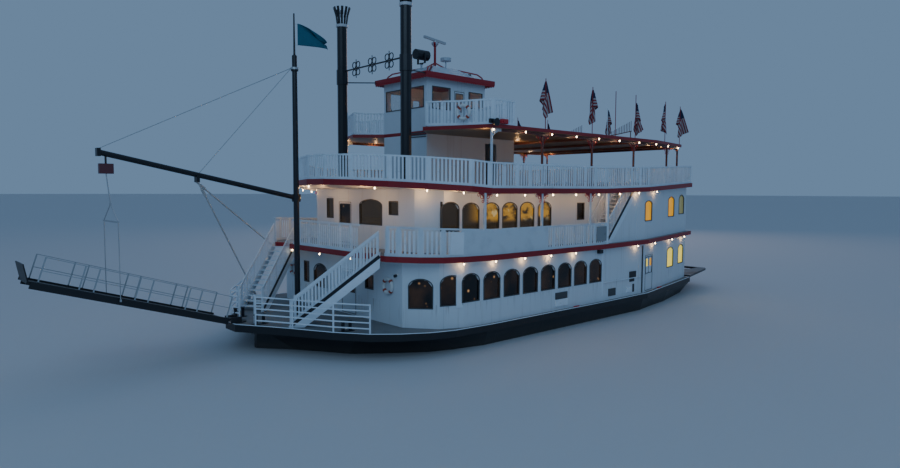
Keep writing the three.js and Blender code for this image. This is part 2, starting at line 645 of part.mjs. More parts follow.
const houseRing = cabin(houseOutline(HOUSE), THIRD_DECK, ROOF_DECK - ROOF_DEPTH, [
  [-5700, 800, 0, 2250, 2250],
], [], []);
add('lower_house', 'white', houseRing);
const pilotRing = cabin(houseOutline(PILOT), ROOF_DECK, PILOT.top, [
  [-2350, 1100, 1050, 2050, 2050], [-4600, 900, 1250, 2000, 2000],
], [[-830, 1250, 1100, 2050, 2050], [830, 1200, 1100, 2050, 2050]],
bothSides(sideOpening(houseOutline(PILOT), PILOT_DOOR.x, ...openingOf(ROOF_DECK, PILOT_DOOR))));
addWalls('pilothouse', pilotRing, PILOT.front - WALL, PILOT.back + WALL);
addPair('pilothouse_door', 'white', sideLeaf(houseOutline(PILOT), ROOF_DECK, PILOT_DOOR));

// Flag staffs stand along the roof deck's edge. Columns: x, y
const STAFF = { radius: 20, top: WATER + 11500, at: [
  [-4920, 5840], [-8480, 5840], [-10460, 5840], [-12310, 5840], [-15790, 5580], [-18400, 5060],
] };
const staffs = STAFF.at.flatMap(
  ([x, y]) => bothSides(rod([x, y, ROOF_DECK - 20], [x, y, STAFF.top], STAFF.radius, 6)),
);
add('roof_deck', 'brown', join([plate(ROOF_EDGE, ROOF_DECK - ROOF_DEPTH, ROOF_DECK), ...staffs]));

// Pilothouse roof: a flat eave, a low crown, four bowed ribs that rise to a finial, the radar's pole in
// the finial and the searchlight's post before it
const roofMiddle = [(EAVE.back + EAVE.front) / 2, 0];
const eaveTop = PILOT.top + SEAT + EAVE.depth;
const roofParts = [box(EAVE.back, EAVE.front, -EAVE.half, EAVE.half, PILOT.top + SEAT, eaveTop)];
const crown = new THREE.CylinderGeometry(EAVE.crownTop, EAVE.crownFoot, EAVE.crown, 4, 1);
crown.rotateX(Math.PI / 2);
crown.rotateZ(Math.PI / 4);
crown.translate(roofMiddle[0], 0, eaveTop + EAVE.crown / 2 - 1);
roofParts.push(solidOf(crown));
// How a rib bows: the share of the way to the finial, and the share of its height there
const RIB = { bow: [[0, 0], [0.04, 0.21], [0.13, 0.38], [0.57, 0.62], [0.8, 0.72], [1, 1]], width: 60, inset: 400 };
const ribFoot = eaveTop - 20;
const ribHead = EAVE.finial - 120;
for (const x of [EAVE.front - RIB.inset, EAVE.back + RIB.inset]) {
  for (const s of [1, -1]) {
    const y = s * (EAVE.half - RIB.inset);
    const at = RIB.bow.map(([t, lift]) => [
      x + (roofMiddle[0] - x) * t, y * (1 - t), ribFoot + (ribHead - ribFoot) * lift,
    ]);
    for (let i = 0; i + 1 < at.length; i += 1) {
      roofParts.push(bar(at[i], at[i + 1], RIB.width, RIB.width));
    }
  }
}
const RADAR = {
  z: WATER + 13800, pole: 60, bowl: 170, bowlDepth: 220, rim: 80, length: 1840, yaw: 15, hub: 80,
  bar: { half: 55, low: 60, high: 170 },
};
roofParts.push(turned(...roofMiddle, [
  [0, ribFoot], [RADAR.pole, ribFoot], [RADAR.pole, RADAR.z - RADAR.bowlDepth],
  [RADAR.bowl, RADAR.z - RADAR.rim], [RADAR.bowl, RADAR.z], [0, RADAR.z],
], 8));
const LIGHT = {
  x: -2500, post: 50, seat: WATER + 12620, z: WATER + 13070, radius: 250, length: 760, arm: 30, half: 40,
  plate: [30, 60], base: 90, over: 60,
};
roofParts.push(rod([LIGHT.x, 0, ribFoot], [LIGHT.x, 0, LIGHT.seat], LIGHT.post, 8));
// A small round aerial on a pole of its own behind the radar
const DISH = { x: -4100, low: WATER + 12980, high: WATER + 13130, radius: 280, pole: 30 };
roofParts.push(turned(DISH.x, 0, [
  [0, ribFoot], [DISH.pole, ribFoot], [DISH.pole, DISH.low],
  [DISH.radius, DISH.low], [DISH.radius, DISH.high], [0, DISH.high],
], 12));
add('pilothouse_roof', 'red', join(roofParts));

// The radar's bar turns on its pole, and the searchlight's yoke on its post
const { half: barHalf, low: barLow, high: barHigh } = RADAR.bar;
const radarBar = box(-RADAR.length / 2, RADAR.length / 2, -barHalf, barHalf, barLow, barHigh);
const radarHub = rod([0, 0, SEAT], [0, 0, barLow + 10], RADAR.hub, 10);
const radarTurn = new THREE.Matrix4().makeRotationZ(THREE.MathUtils.degToRad(RADAR.yaw)).toArray();
const radar = join([radarBar, radarHub]).transform(radarTurn);
add('radar_scanner', 'steel', radar.translate([...roofMiddle, RADAR.z]));
const [plateLow, plateHigh] = LIGHT.plate.map((lift) => LIGHT.seat + lift);
const yokeHalf = LIGHT.radius + LIGHT.arm;
const lightParts = [
  rod([0, 0, LIGHT.seat + SEAT], [0, 0, plateHigh], LIGHT.base, 10),
  rod([-LIGHT.length / 2, 0, LIGHT.z], [LIGHT.length / 2, 0, LIGHT.z], LIGHT.radius, 12),
  box(-LIGHT.half, LIGHT.half, -yokeHalf, yokeHalf, plateLow, plateHigh),
];
for (const s of [1, -1]) {
  const y = s * (LIGHT.radius + LIGHT.arm / 2);
  lightParts.push(box(-LIGHT.half, LIGHT.half, y - LIGHT.arm, y + LIGHT.arm, plateLow, LIGHT.z + LIGHT.over));
}
add('searchlight', 'black', join(lightParts).translate([LIGHT.x, 0, 0]));

// Posts and beams under the roof deck
const POSTS = [[-1650, 5650], [-4950, 5650], [-8750, 5650], [-12500, 5650], [-16300, 5430], [-18300, 4990]];
const beamTop = ROOF_DECK - ROOF_DEPTH - SEAT;
const frameParts = [];
for (const [x, y] of POSTS) {
  const foot = THIRD_DECK + Math.max(riseAt(x - 40, THIRD_DECK), riseAt(x + 40, THIRD_DECK)) + SEAT;
  const sides = [-1, 1].filter((side) => POSTS.some(([other]) => (other - x) * side > 0));
  for (const s of [1, -1]) {
    frameParts.push(box(x - 40, x + 40, s * y - 40, s * y + 40, foot, beamTop));
    for (const side of sides) frameParts.push(bracket(x, s * y, beamTop - 110, side));
  }
  if (x < HOUSE.back || x > HOUSE.front) frameParts.push(box(x - 40, x + 40, -y, y, beamTop - 120, beamTop));
}
for (const s of [1, -1]) {
  for (let i = 0; i + 1 < POSTS.length; i += 1) {
    const [from, to] = [POSTS[i], POSTS[i + 1]].map(([x, y]) => [x, s * y, beamTop - 60]);
    frameParts.push(bar(from, to, 80, 120));
  }
}
add('roof_frame', 'white', join(frameParts));

// Roof-deck wing rails, each side of the pilothouse
const WING_EDGE = [[-4150, 1450], [-3000, 5860], [-1580, 5860], [-330, 2790], [-1650, 1530]];
const wingRail = picketRing(WING_EDGE, ROOF_DECK).intersect(box(-FAR, FAR, HOUSE.half + SEAT, FAR, 0, FAR));
addPair('wing_rail', 'white', risen(wingRail));

// Stacks with flared crowns, and the bars that brace them
const STACK = {
  x: 440, y: 2500, radius: 240, flange: 330, flangeHeight: 80, ring: WATER + 14350, ringHeight: 120,
  ringRadius: 290,
};
// A petal of the crown leans out in two lengths. Columns: radius, height above the ring
const PETAL = { count: 12, thick: 25, line: [[235, 100], [300, 560], [412, 930]], widths: [75, 115] };
const stackFoot = turned(STACK.x, STACK.y, [
  [0, THIRD_DECK + SEAT], [STACK.flange, THIRD_DECK + SEAT],
  [STACK.flange, THIRD_DECK + STACK.flangeHeight], [0, THIRD_DECK + STACK.flangeHeight],
], 12);
const pipeFoot = THIRD_DECK + riseAt(STACK.x, THIRD_DECK) + STACK.flangeHeight / 2;
const ringTop = STACK.ring + STACK.ringHeight;
const stackPipe = turned(STACK.x, STACK.y, [
  [0, pipeFoot], [STACK.radius, pipeFoot], [STACK.radius, STACK.ring], [STACK.ringRadius, STACK.ring],
  [STACK.ringRadius, ringTop], [0, ringTop],
], 12);
const petals = [];
for (let k = 0; k < PETAL.count; k += 1) {
  const turn = (2 * Math.PI * k) / PETAL.count;
  const [foot, bend, tip] = PETAL.line.map(([radius, lift]) => [
    STACK.x + radius * Math.cos(turn), STACK.y + radius * Math.sin(turn), STACK.ring + lift,
  ]);
  petals.push(bar(foot, bend, PETAL.widths[0], PETAL.thick), bar(bend, tip, PETAL.widths[1], PETAL.thick));
}
addPair('stack', 'black', join([risen(stackFoot, THIRD_DECK), stackPipe, ...petals]));

// Braces: a bar across between the stacks with scrolls over and under it, and one from each stack aft to
// the pilothouse eave, all held by a band round each stack
const BAND = { thick: 40, low: WATER + 11600, high: WATER + 12300 };
const roundTheStack = (radius, z0, z1) => turned(
  STACK.x, STACK.y, [[0, z0], [radius, z0], [radius, z1], [0, z1]], 12,
);
const stackHole = roundTheStack(STACK.radius + SEAT, BAND.low - OVER, BAND.high + OVER);
const stackBand = roundTheStack(STACK.radius + BAND.thick, BAND.low, BAND.high);
const CROSSBAR = WATER + 12220;
// A group of scrolls: a pin through the crossbar and four rings in its corners
const SCROLL = {
  y: [-1300, 0, 1300], pin: 430, pinWidth: 26, width: 30, outer: 165, inner: 130, across: 160, up: 175,
  sides: 8,
};
const circle = (u, v, radius) => Array.from({ length: SCROLL.sides }, (_, k) => {
  const turn = (2 * Math.PI * (k + 0.5)) / SCROLL.sides;
  return new THREE.Vector2(u + radius * Math.cos(turn), v + radius * Math.sin(turn));
});
function scrollRing(u, v) {
  const shape = new THREE.Shape(circle(u, v, SCROLL.outer));
  shape.holes.push(new THREE.Path(circle(u, v, SCROLL.inner)));
  const face = STACK.x + SCROLL.width / 2;
  return standing(shape, [face, 0], [face, -1], SCROLL.width);
}
const braceParts = [bar([STACK.x, -STACK.y, CROSSBAR], [STACK.x, STACK.y, CROSSBAR], 50, 60)];
for (const y of SCROLL.y) {
  const [pinFoot, pinHead] = [CROSSBAR - SCROLL.pin, CROSSBAR + SCROLL.pin];
  braceParts.push(bar([STACK.x, y, pinFoot], [STACK.x, y, pinHead], SCROLL.pinWidth, SCROLL.pinWidth));
  for (const side of [-1, 1]) {
    for (const lift of [-1, 1]) {
      braceParts.push(scrollRing(y + side * SCROLL.across, CROSSBAR + lift * SCROLL.up));
    }
  }
}
const eaveCorner = [EAVE.front - 100, EAVE.half - 120, PILOT.top + 100];
const aftBrace = bar([STACK.x, STACK.y, WATER + 11700], eaveCorner, 45, 45);
braceParts.push(...bothSides(join([aftBrace, stackBand])));
const grownEave = box(EAVE.back, EAVE.front + SEAT, -EAVE.half, EAVE.half,
  PILOT.top - EAVE.depth, PILOT.top + EAVE.depth);
add('stack_braces', 'black', cut(join(braceParts), [...bothSides(stackHole), grownEave]));

// Mast on the bow deck: a foot plate that follows the deck and an upright pole
const MAST = {
  x: 4400, radius: 120, upper: 105, head: WATER + 12070, truck: WATER + 13810, pole: 45, plate: 60,
  plateHalf: 220,
};
const BOOM = {
  heel: [4550, 0, WATER + 6170], tip: [11960, 0, WATER + 7760], middle: [8580, 0, WATER + 6896], radius: 100,
};
const HEEL_SEAT = BOOM.heel[2] - 140;
const MASTHEAD_SEAT = WATER + 11500;
const mastFoot = MAIN_DECK + riseAt(MAST.x, MAIN_DECK) + MAST.plate / 2;
const mastPole = turned(MAST.x, 0, [
  [0, mastFoot], [MAST.radius, mastFoot],
  [MAST.radius, HEEL_SEAT - 60], [MAST.radius + 60, HEEL_SEAT - 60], [MAST.radius + 60, HEEL_SEAT],
  [MAST.radius, HEEL_SEAT], [MAST.upper, MASTHEAD_SEAT - 60], [MAST.upper + 50, MASTHEAD_SEAT - 60],
  [MAST.upper + 50, MASTHEAD_SEAT], [MAST.upper, MASTHEAD_SEAT], [MAST.upper, MAST.head],
  [MAST.pole, MAST.head + 60], [MAST.pole - 15, MAST.truck], [0, MAST.truck],
], 16);
const mastPlate = squarePost(MAST.x, 0, MAST.plateHalf, MAIN_DECK + SEAT, MAIN_DECK + MAST.plate);
add('mast', 'black', join([mastPole, risen(mastPlate, MAIN_DECK)]));

// The flag at the pole streams aft and sags: a plate with two lashings that reach the pole. Columns: the
// distance from the pole along the flag, then the heights of its upper and lower edge
const FLAG = {
  turn: 160, thick: 16, lash: [60, 860],
  edge: [
    [140, WATER + 13420, WATER + 12550], [560, WATER + 13270, WATER + 12420],
    [1010, WATER + 13050, WATER + 12290], [1430, WATER + 12910, WATER + 12180],
  ],
};
const upperEdge = FLAG.edge.map(([u, high]) => [u, high]);
const lowerEdge = FLAG.edge.map(([u, , low]) => [u, low]).reverse();
const flagOutline = [...upperEdge, ...lowerEdge];
const flagTurn = THREE.MathUtils.degToRad(FLAG.turn);
const along = (u) => [MAST.x + u * Math.cos(flagTurn), u * Math.sin(flagTurn)];
const flagParts = [standing(shapeOf(flagOutline), along(0), along(1), FLAG.thick, -FLAG.thick / 2)];
for (const lash of FLAG.lash) {
  const z = FLAG.edge[0][1] - lash;
  flagParts.push(bar([...along(0), z], [...along(FLAG.edge[0][0] + 20), z], 12, 12));
}
const wider = 1 + SEAT / (MAST.pole - 15);
const growPole = new THREE.Matrix4().makeScale(wider, wider, 1).toArray();
const poleGrown = mastPole.translate([-MAST.x, 0, 0]).transform(growPole).translate([MAST.x, 0, 0]);
add('mast_flag', 'teal', join(flagParts).subtract(poleGrown));

// The boom swings about the mast on two rings: one at its heel and one at the masthead
const RING_SIDES = 24;
const tube = (inner, outer, z0, z1) => turned(MAST.x, 0,
  [[inner, z0], [outer, z0], [outer, z1], [inner, z1], [inner, z0]], RING_SIDES);
const post = (radius, z0, z1) => turned(
  MAST.x, 0, [[0, z0], [radius, z0], [radius, z1], [0, z1]], RING_SIDES,
);
const HEEL_RING = { inner: MAST.radius + CLEAR, outer: MAST.radius + 70, height: 260 };
const HEAD_RING = { inner: MAST.upper + CLEAR, outer: MAST.upper + 60, height: 90 };
const heelFloor = HEEL_SEAT + SEAT;
const headFloor = MASTHEAD_SEAT + SEAT;
const spar = rod(BOOM.heel, BOOM.tip, BOOM.radius, 12);
const boomParts = [
  tube(HEEL_RING.inner, HEEL_RING.outer, heelFloor, heelFloor + HEEL_RING.height),
  spar.subtract(post(HEEL_RING.inner, heelFloor - OVER, heelFloor + HEEL_RING.height + OVER)),
];
const FITTING = { half: 60, side: 130, reach: 140 };
for (const [x, y, z] of [BOOM.tip, BOOM.middle]) {
  boomParts.push(box(x - FITTING.half, x + FITTING.half, y - FITTING.side, y + FITTING.side,
    z - FITTING.reach, z + FITTING.reach));
}
// The hoist's upper block hangs under the boom's end
const BLOCK = { x: 11730, half: 230, across: 85, low: WATER + 7020, high: WATER + 7370 };
boomParts.push(
  box(BLOCK.x - BLOCK.half, BLOCK.x + BLOCK.half, -BLOCK.across, BLOCK.across, BLOCK.low, BLOCK.high),
);
boomParts.push(rod([BLOCK.x, 0, BLOCK.high - 20], [BLOCK.x, 0, BOOM.tip[2] - 40], 35, 8));
const boom = join(boomParts);
add('boom', 'black', boom);
const LIFT = { radius: 14, from: MAST.upper + 50 };
const liftParts = [tube(HEAD_RING.inner, HEAD_RING.outer, headFloor, headFloor + HEAD_RING.height)];
for (const [x, y, z] of [BOOM.tip, BOOM.middle]) {
  const head = [MAST.x + LIFT.from, 0, headFloor + HEAD_RING.height / 2];
  liftParts.push(rod([x, y, z + FITTING.reach - 20], head, LIFT.radius, 6));
}
const grownBoom = join([0, SEAT].map((z) => boom.translate([0, 0, z])));
add('topping_lift', 'steel', join(liftParts).subtract(grownBoom));

// Bow gangway: a turntable on the deck's tip, the gangway hinged to it, and an apron at its far end
const PIVOT = { x: 7050, z: MAIN_DECK + 220, radius: 300, thick: 50, sides: 20 };
const GANGWAY = {
  hinge: [7400, 0, PIVOT.z + 170], slope: 17.6, start: 400, length: 7150, half: 780,
  girder: 80, deep: 240, over: 60, plank: 40, barrel: 60,
};
const EAR = { gap: 260, thick: 40, reach: 90 };
const [diskLow, diskHigh] = [PIVOT.z + SEAT, PIVOT.z + PIVOT.thick];
const turntableParts = [turned(
  PIVOT.x, 0, [[0, diskLow], [PIVOT.radius, diskLow], [PIVOT.radius, diskHigh], [0, diskHigh]], PIVOT.sides,
)];
for (const s of [-1, 1]) {
  const y = s * (EAR.gap + EAR.thick / 2);
  turntableParts.push(box(PIVOT.x, GANGWAY.hinge[0] + EAR.reach, y - EAR.thick / 2, y + EAR.thick / 2,
    diskHigh - 20, GANGWAY.hinge[2] + EAR.reach));
}
add('gangway_turntable', 'black', join(turntableParts));

// The gangway is drawn level with its hinge at the origin, then raised to its slope
const slopeAngle = THREE.MathUtils.degToRad(GANGWAY.slope);
function addOnGangway(name, paint, solid) {
  add(name, paint, solid);
  const mesh = boat.children.at(-1);
  mesh.rotation.y = -slopeAngle;
  mesh.position.set(...GANGWAY.hinge);
}
const onGangway = (u, v) => [
  GANGWAY.hinge[0] + u * Math.cos(slopeAngle) - v * Math.sin(slopeAngle),
  GANGWAY.hinge[2] + u * Math.sin(slopeAngle) + v * Math.cos(slopeAngle),
];
const girderY = GANGWAY.half - GANGWAY.girder / 2;
const gangwayParts = [
  rod([0, -EAR.gap + 0.5, 0], [0, EAR.gap - 0.5, 0], GANGWAY.barrel, 12),
  box(0, GANGWAY.start + 60, -EAR.gap + 40, EAR.gap - 40, -GANGWAY.plank, 0),
  box(GANGWAY.start, GANGWAY.length, -GANGWAY.half, GANGWAY.half, -GANGWAY.plank, 0),
];
// Along each side: a girder, stanchions with two rails, a boss for the sling and an ear for the apron.
// The stanchions' distances from the hinge come in pairs.
const STANCHIONS = [500, 1700, 2150, 3500, 3950, 5300, 5750, 6950];
const HANDRAIL = 900;
const SLING = { u: 4430, v: -20, boss: 860, radius: 22 };
const APRON = { u: GANGWAY.length + 45, v: -20, length: 620, half: 700, thick: 40, pin: 40, lean: 62 };
for (const s of [-1, 1]) {
  const y = s * girderY;
  gangwayParts.push(box(GANGWAY.start, GANGWAY.length, y - GANGWAY.girder / 2, y + GANGWAY.girder / 2,
    GANGWAY.over - GANGWAY.deep, GANGWAY.over));
  for (const u of STANCHIONS) gangwayParts.push(box(u - 20, u + 20, y - 20, y + 20, 40, HANDRAIL));
  for (const v of [HANDRAIL - 12, HANDRAIL / 2]) {
    gangwayParts.push(box(STANCHIONS[0], STANCHIONS.at(-1), y - 12, y + 12, v - 12, v + 12));
  }
  const [bossRoot, bossEnd] = [s * (GANGWAY.half - 20), s * SLING.boss];
  gangwayParts.push(rod([SLING.u, bossRoot, SLING.v], [SLING.u, bossEnd, SLING.v], SLING.radius, 8));
  const ear = s * (APRON.half + 20.5);
  gangwayParts.push(box(GANGWAY.length - 20, APRON.u + 60, ear - 20, ear + 20, -60, 50));
}
addOnGangway('gangway', 'black', join(gangwayParts));

// Apron, folded up at the gangway's end about a pin between the ears
const apronParts = [
  box(0, APRON.length, -APRON.half + 20, APRON.half - 20, -APRON.thick / 2, APRON.thick / 2),
  rod([0, -APRON.half, 0], [0, APRON.half, 0], APRON.pin, 12),
];
const lean = new THREE.Matrix4().makeRotationY(-THREE.MathUtils.degToRad(APRON.lean)).toArray();
addOnGangway('gangway_apron', 'black', join(apronParts).transform(lean).translate([APRON.u, 0, APRON.v]));

// Spreader: a bar across over the gangway, a sling down to the boss on each girder and two legs up to
// the eye that the hoist's line holds
const [slingX, slingZ] = onGangway(SLING.u, SLING.v);
const SPREADER = { half: 885, z: WATER + 5360, apex: WATER + 6000, rope: 16, bar: 60 };
const spreaderParts = [
  box(slingX - SPREADER.bar / 2, slingX + SPREADER.bar / 2, -SPREADER.half - 30, SPREADER.half + 30,
    SPREADER.z - SPREADER.bar / 2, SPREADER.z + SPREADER.bar / 2),
  box(slingX - 30, slingX + 30, -40, 40, SPREADER.apex - 90, SPREADER.apex),
];
for (const s of [-1, 1]) {
  const y = s * SPREADER.half;
  spreaderParts.push(rod([slingX, y, slingZ], [slingX, y, SPREADER.z], SPREADER.rope, 6));
  spreaderParts.push(rod([slingX, y, SPREADER.z], [slingX, 0, SPREADER.apex - 45], SPREADER.rope, 6));
  spreaderParts.push(box(slingX - 30, slingX + 30, Math.min(s * (SLING.boss + 0.5), y + s * 25),
    Math.max(s * (SLING.boss + 0.5), y + s * 25), slingZ - 40, slingZ + 40));
}
const spreader = join(spreaderParts);
add('spreader', 'steel', spreader);
const line = rod([slingX, 0, SPREADER.apex - 10], [BLOCK.x, 0, BLOCK.low + 10], 20, 8);
const round = [boom, boom.translate([0, 0, -SEAT]), spreader, spreader.translate([0, 0, SEAT])];
add('hoist_line', 'steel', cut(line, round));

// Paddle wheel on a shaft between two beams that reach aft from the transom
const WHEEL = {
  x: -22500, z: WATER + 1250, radius: 1900, half: 2200, boards: 10, board: [420, 50], shaft: 130,
};
const BEAM = { y: 2750, half: 160, low: MAIN_DECK - 300, high: MAIN_DECK - SEAT, end: -24300 };
const BEARING = 260;
const WHEEL_FRAME = {
  y: [-WHEEL.half + 120, 0, WHEEL.half - 120], thick: 60, arm: 45, hub: 330, rim: [1420, 1560],
};
const wheelTurn = (k) => (2 * Math.PI * k) / WHEEL.boards;

// One flat frame of the wheel: a hub, an arm to each board and a rim between the arms
function wheelFrame(y) {
  const { thick, arm, hub, rim: [inner, outer] } = WHEEL_FRAME;
  const at = (radius, k, side) => {
    const turn = wheelTurn(k) + (side * arm) / radius;
    return new THREE.Vector2(radius * Math.cos(turn), radius * Math.sin(turn));
  };
  const edge = [];
  for (let k = 0; k < WHEEL.boards; k += 1) {
    edge.push(at(outer, k, -1), at(WHEEL.radius - 60, k, -1), at(WHEEL.radius - 60, k, 1), at(outer, k, 1));
  }
  const shape = new THREE.Shape(edge);
  for (let k = 0; k < WHEEL.boards; k += 1) {
    const gap = [at(hub, k, 1), at(hub, k + 1, -1), at(inner, k + 1, -1), at(inner, k, 1)];
    shape.holes.push(new THREE.Path(gap));
  }
  const geometry = new THREE.ExtrudeGeometry(shape, { depth: thick, bevelEnabled: false });
  geometry.rotateX(Math.PI / 2);
  geometry.translate(0, y + thick / 2, 0);
  return solidOf(geometry);
}

// The shaft ends in the bearings, with a collar against the inner face of each
const shaftEnd = BEAM.y + BEAM.half + 60;
const COLLAR = { radius: 200, face: BEAM.y - BEAM.half - 0.5, thick: 100 };
const wheelParts = [rod([0, -shaftEnd, 0], [0, shaftEnd, 0], WHEEL.shaft, 12)];
for (const s of [-1, 1]) {
  wheelParts.push(rod([0, s * (COLLAR.face - COLLAR.thick), 0], [0, s * COLLAR.face, 0], COLLAR.radius, 12));
}
for (const y of WHEEL_FRAME.y) wheelParts.push(wheelFrame(y));
for (let k = 0; k < WHEEL.boards; k += 1) {
  const board = box(WHEEL.radius - WHEEL.board[0], WHEEL.radius, -WHEEL.half, WHEEL.half,
    WHEEL_FRAME.thick / 2, WHEEL_FRAME.thick / 2 + WHEEL.board[1]);
  wheelParts.push(board.transform(new THREE.Matrix4().makeRotationY(-wheelTurn(k)).toArray()));
}
const aftRise = riseAt(WHEEL.x, MAIN_DECK);
const wheelZ = WHEEL.z + aftRise;
add('paddle_wheel', 'wheel', join(wheelParts).translate([WHEEL.x, 0, wheelZ]));

// Beams with the bearings that hold the shaft, and the guard walk round the wheel
const beam = box(BEAM.end, -20300 - SEAT, BEAM.y - BEAM.half, BEAM.y + BEAM.half, BEAM.low, BEAM.high);
const bearing = box(WHEEL.x - BEARING, WHEEL.x + BEARING, BEAM.y - BEAM.half, BEAM.y + BEAM.half,
  BEAM.high - 10, WHEEL.z + BEARING);
const bore = rod([WHEEL.x, 0, WHEEL.z], [WHEEL.x, 4000, WHEEL.z], WHEEL.shaft + 6, 12);
addPair('wheel_beam', 'black', risen(join([beam, bearing]).subtract(bore), MAIN_DECK));
const guardOuter = mirrored([[-24900, 3700], [-24600, 3900], [-20300 - SEAT, 5000]]);
const guardInner = [[-24650, 3300], [-20000, 3300], [-20000, -3300], [-24650, -3300]];
const guard = plate(guardOuter, MAIN_DECK + SEAT, MAIN_DECK + 120).subtract(plate(guardInner, 0, FAR));
add('stern_guard', 'black', risen(guard, MAIN_DECK));

// Rudders under the stern rake, each on an upright stock that ends at the hull's raked bottom
const RUDDER = { x: -19200, y: 2200, low: 120, high: 520, ahead: 350, behind: 850, thick: 60, stock: 60 };
const [transom, knee] = STATIONS;
const transomFoot = transom[1] + riseAt(transom[0], transom[1]);
const rakeAt = (x) => (transomFoot * (knee[0] - x)) / (knee[0] - transom[0]);
const stockTop = rakeAt(RUDDER.x + RUDDER.stock) - SEAT;
const rudder = join([
  box(RUDDER.x - RUDDER.behind, RUDDER.x + RUDDER.ahead, RUDDER.y - RUDDER.thick / 2,
    RUDDER.y + RUDDER.thick / 2, RUDDER.low, RUDDER.high),
  rod([RUDDER.x, RUDDER.y, RUDDER.high - 200], [RUDDER.x, RUDDER.y, stockTop], RUDDER.stock, 12),
]);
addPair('rudder', 'black', rudder);

// Engine, one block on the main deck aft
const ENGINE = { back: -18200, front: -15400, half: 1500, height: 1500 };
const engine = box(ENGINE.back, ENGINE.front, -ENGINE.half, ENGINE.half,
  MAIN_DECK + SEAT, MAIN_DECK + ENGINE.height);
add('engine', 'engine', risen(engine, MAIN_DECK));

export default boat;
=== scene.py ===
# %% [markdown]
# # Dressing a stern-wheel excursion boat
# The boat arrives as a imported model: plain, closed solids in one fixed frame, X forward, Y to port and
# Z up, in metres. This lesson gives it its paint, and adds what is too fine for the solids: close
# pickets, window frames and glass, lamps, scrolls, flags and rigging. Nothing that arrives is moved.

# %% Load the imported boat
import math

import bpy
from mathutils import Matrix, Vector


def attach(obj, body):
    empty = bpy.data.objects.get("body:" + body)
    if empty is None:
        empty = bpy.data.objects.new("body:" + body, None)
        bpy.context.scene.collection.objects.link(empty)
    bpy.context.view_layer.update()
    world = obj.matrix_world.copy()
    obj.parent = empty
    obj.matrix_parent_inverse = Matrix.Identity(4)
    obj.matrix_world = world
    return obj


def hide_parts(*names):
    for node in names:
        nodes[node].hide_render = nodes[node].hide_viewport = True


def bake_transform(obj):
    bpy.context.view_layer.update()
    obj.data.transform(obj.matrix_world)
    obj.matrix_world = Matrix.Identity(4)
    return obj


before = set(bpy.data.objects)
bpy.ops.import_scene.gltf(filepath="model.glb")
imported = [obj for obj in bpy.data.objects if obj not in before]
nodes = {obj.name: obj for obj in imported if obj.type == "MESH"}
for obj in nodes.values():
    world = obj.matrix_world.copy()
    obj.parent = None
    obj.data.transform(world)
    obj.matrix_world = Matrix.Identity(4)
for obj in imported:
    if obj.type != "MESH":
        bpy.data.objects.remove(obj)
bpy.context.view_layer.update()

# %% [markdown]
# ## The camera
# The photograph was taken from the port bow, a little above the second deck. The lens and the aim come
# from straight edges whose places on the boat are known. Three axes make the camera's turn: its right,
# its up and its back.

# %% Place the camera
EYE = Vector((17.968, 24.707, 7.5475))
YAW, PITCH, ROLL = (math.radians(angle) for angle in (-132.183, -3.930, 0.167))
ahead = Vector((math.cos(YAW) * math.cos(PITCH), math.sin(YAW) * math.cos(PITCH), math.sin(PITCH)))
level = Vector((math.sin(YAW), -math.cos(YAW), 0))
above = level.cross(ahead)
side = level * math.cos(ROLL) + above * math.sin(ROLL)
top = above * math.cos(ROLL) - level * math.sin(ROLL)
lens = bpy.data.cameras.new("camera")
lens.sensor_width = 36
lens.lens = 25.77
lens.clip_end = 2000
camera = bpy.data.objects.new("camera", lens)
camera.matrix_world = Matrix.Translation(EYE) @ Matrix((side, top, -ahead)).transposed().to_4x4()
bpy.context.scene.collection.objects.link(camera)
bpy.context.scene.camera = camera
print("camera looks along", tuple(round(v, 3) for v in ahead))

# %% [markdown]
# ## Floor and light
# The pale floor lies at the waterline, because a boat afloat shows nothing of itself below that line.
# Dusk is a blue light all round, with a broad cool lamp off the port bow and a weaker, warmer one from
# aft. Broad lamps give the soft shadows that show the decks' overhang.

# %% Lay the floor and hang the lights
WATERLINE = 1.05
FLOOR_RADIUS = 900
LAMP_WIDTH = 40
bpy.ops.object.select_all(action="DESELECT")
bpy.ops.mesh.primitive_circle_add(
    vertices=96, radius=FLOOR_RADIUS, fill_type="NGON", location=(0, 0, WATERLINE)
)
floor = bpy.context.active_object
floor.name = "floor"
floor_finish = bpy.data.materials.new("floor_finish")
floor_finish.use_nodes = True
floor_shader = floor_finish.node_tree.nodes["Principled BSDF"]
floor_shader.inputs["Base Color"].default_value = (0.62, 0.62, 0.64, 1)
floor_shader.inputs["Roughness"].default_value = 0.85
floor.data.materials.append(floor_finish)

dusk = bpy.data.worlds.new("dusk")
dusk.use_nodes = True
dusk_light = dusk.node_tree.nodes["Background"]
dusk_light.inputs["Color"].default_value = (0.38, 0.63, 1.0, 1)
dusk_light.inputs["Strength"].default_value = 0.37
bpy.context.scene.world = dusk
MIDSHIPS = Vector((-6, 0, 6))


def broad_lamp(name, place, power, tint):
    """A square lamp that is aimed at the middle of the boat."""
    lamp = bpy.data.lights.new(name, "AREA")
    lamp.size = LAMP_WIDTH
    lamp.energy = power
    lamp.color = tint
    hung = bpy.data.objects.new(name, lamp)
    hung.location = place
    hung.rotation_euler = (MIDSHIPS - Vector(place)).to_track_quat("-Z", "Y").to_euler()
    bpy.context.scene.collection.objects.link(hung)


broad_lamp("bow_light", (45, 50, 45), 8200, (0.50, 0.75, 1.0))
broad_lamp("stern_light", (-60, -40, 35), 4500, (1.0, 0.75, 0.68))
print("floor at", WATERLINE, "and", len(bpy.data.lights), "broad lamps")

# %% [markdown]
# ## Writing a finish as sums
# A finish is a small program: where on the boat a point lies goes in, and colour, gloss and bump come
# out. Written as nodes it is hard to read, so one class wraps a socket and lets Python's own signs add
# the Math nodes.

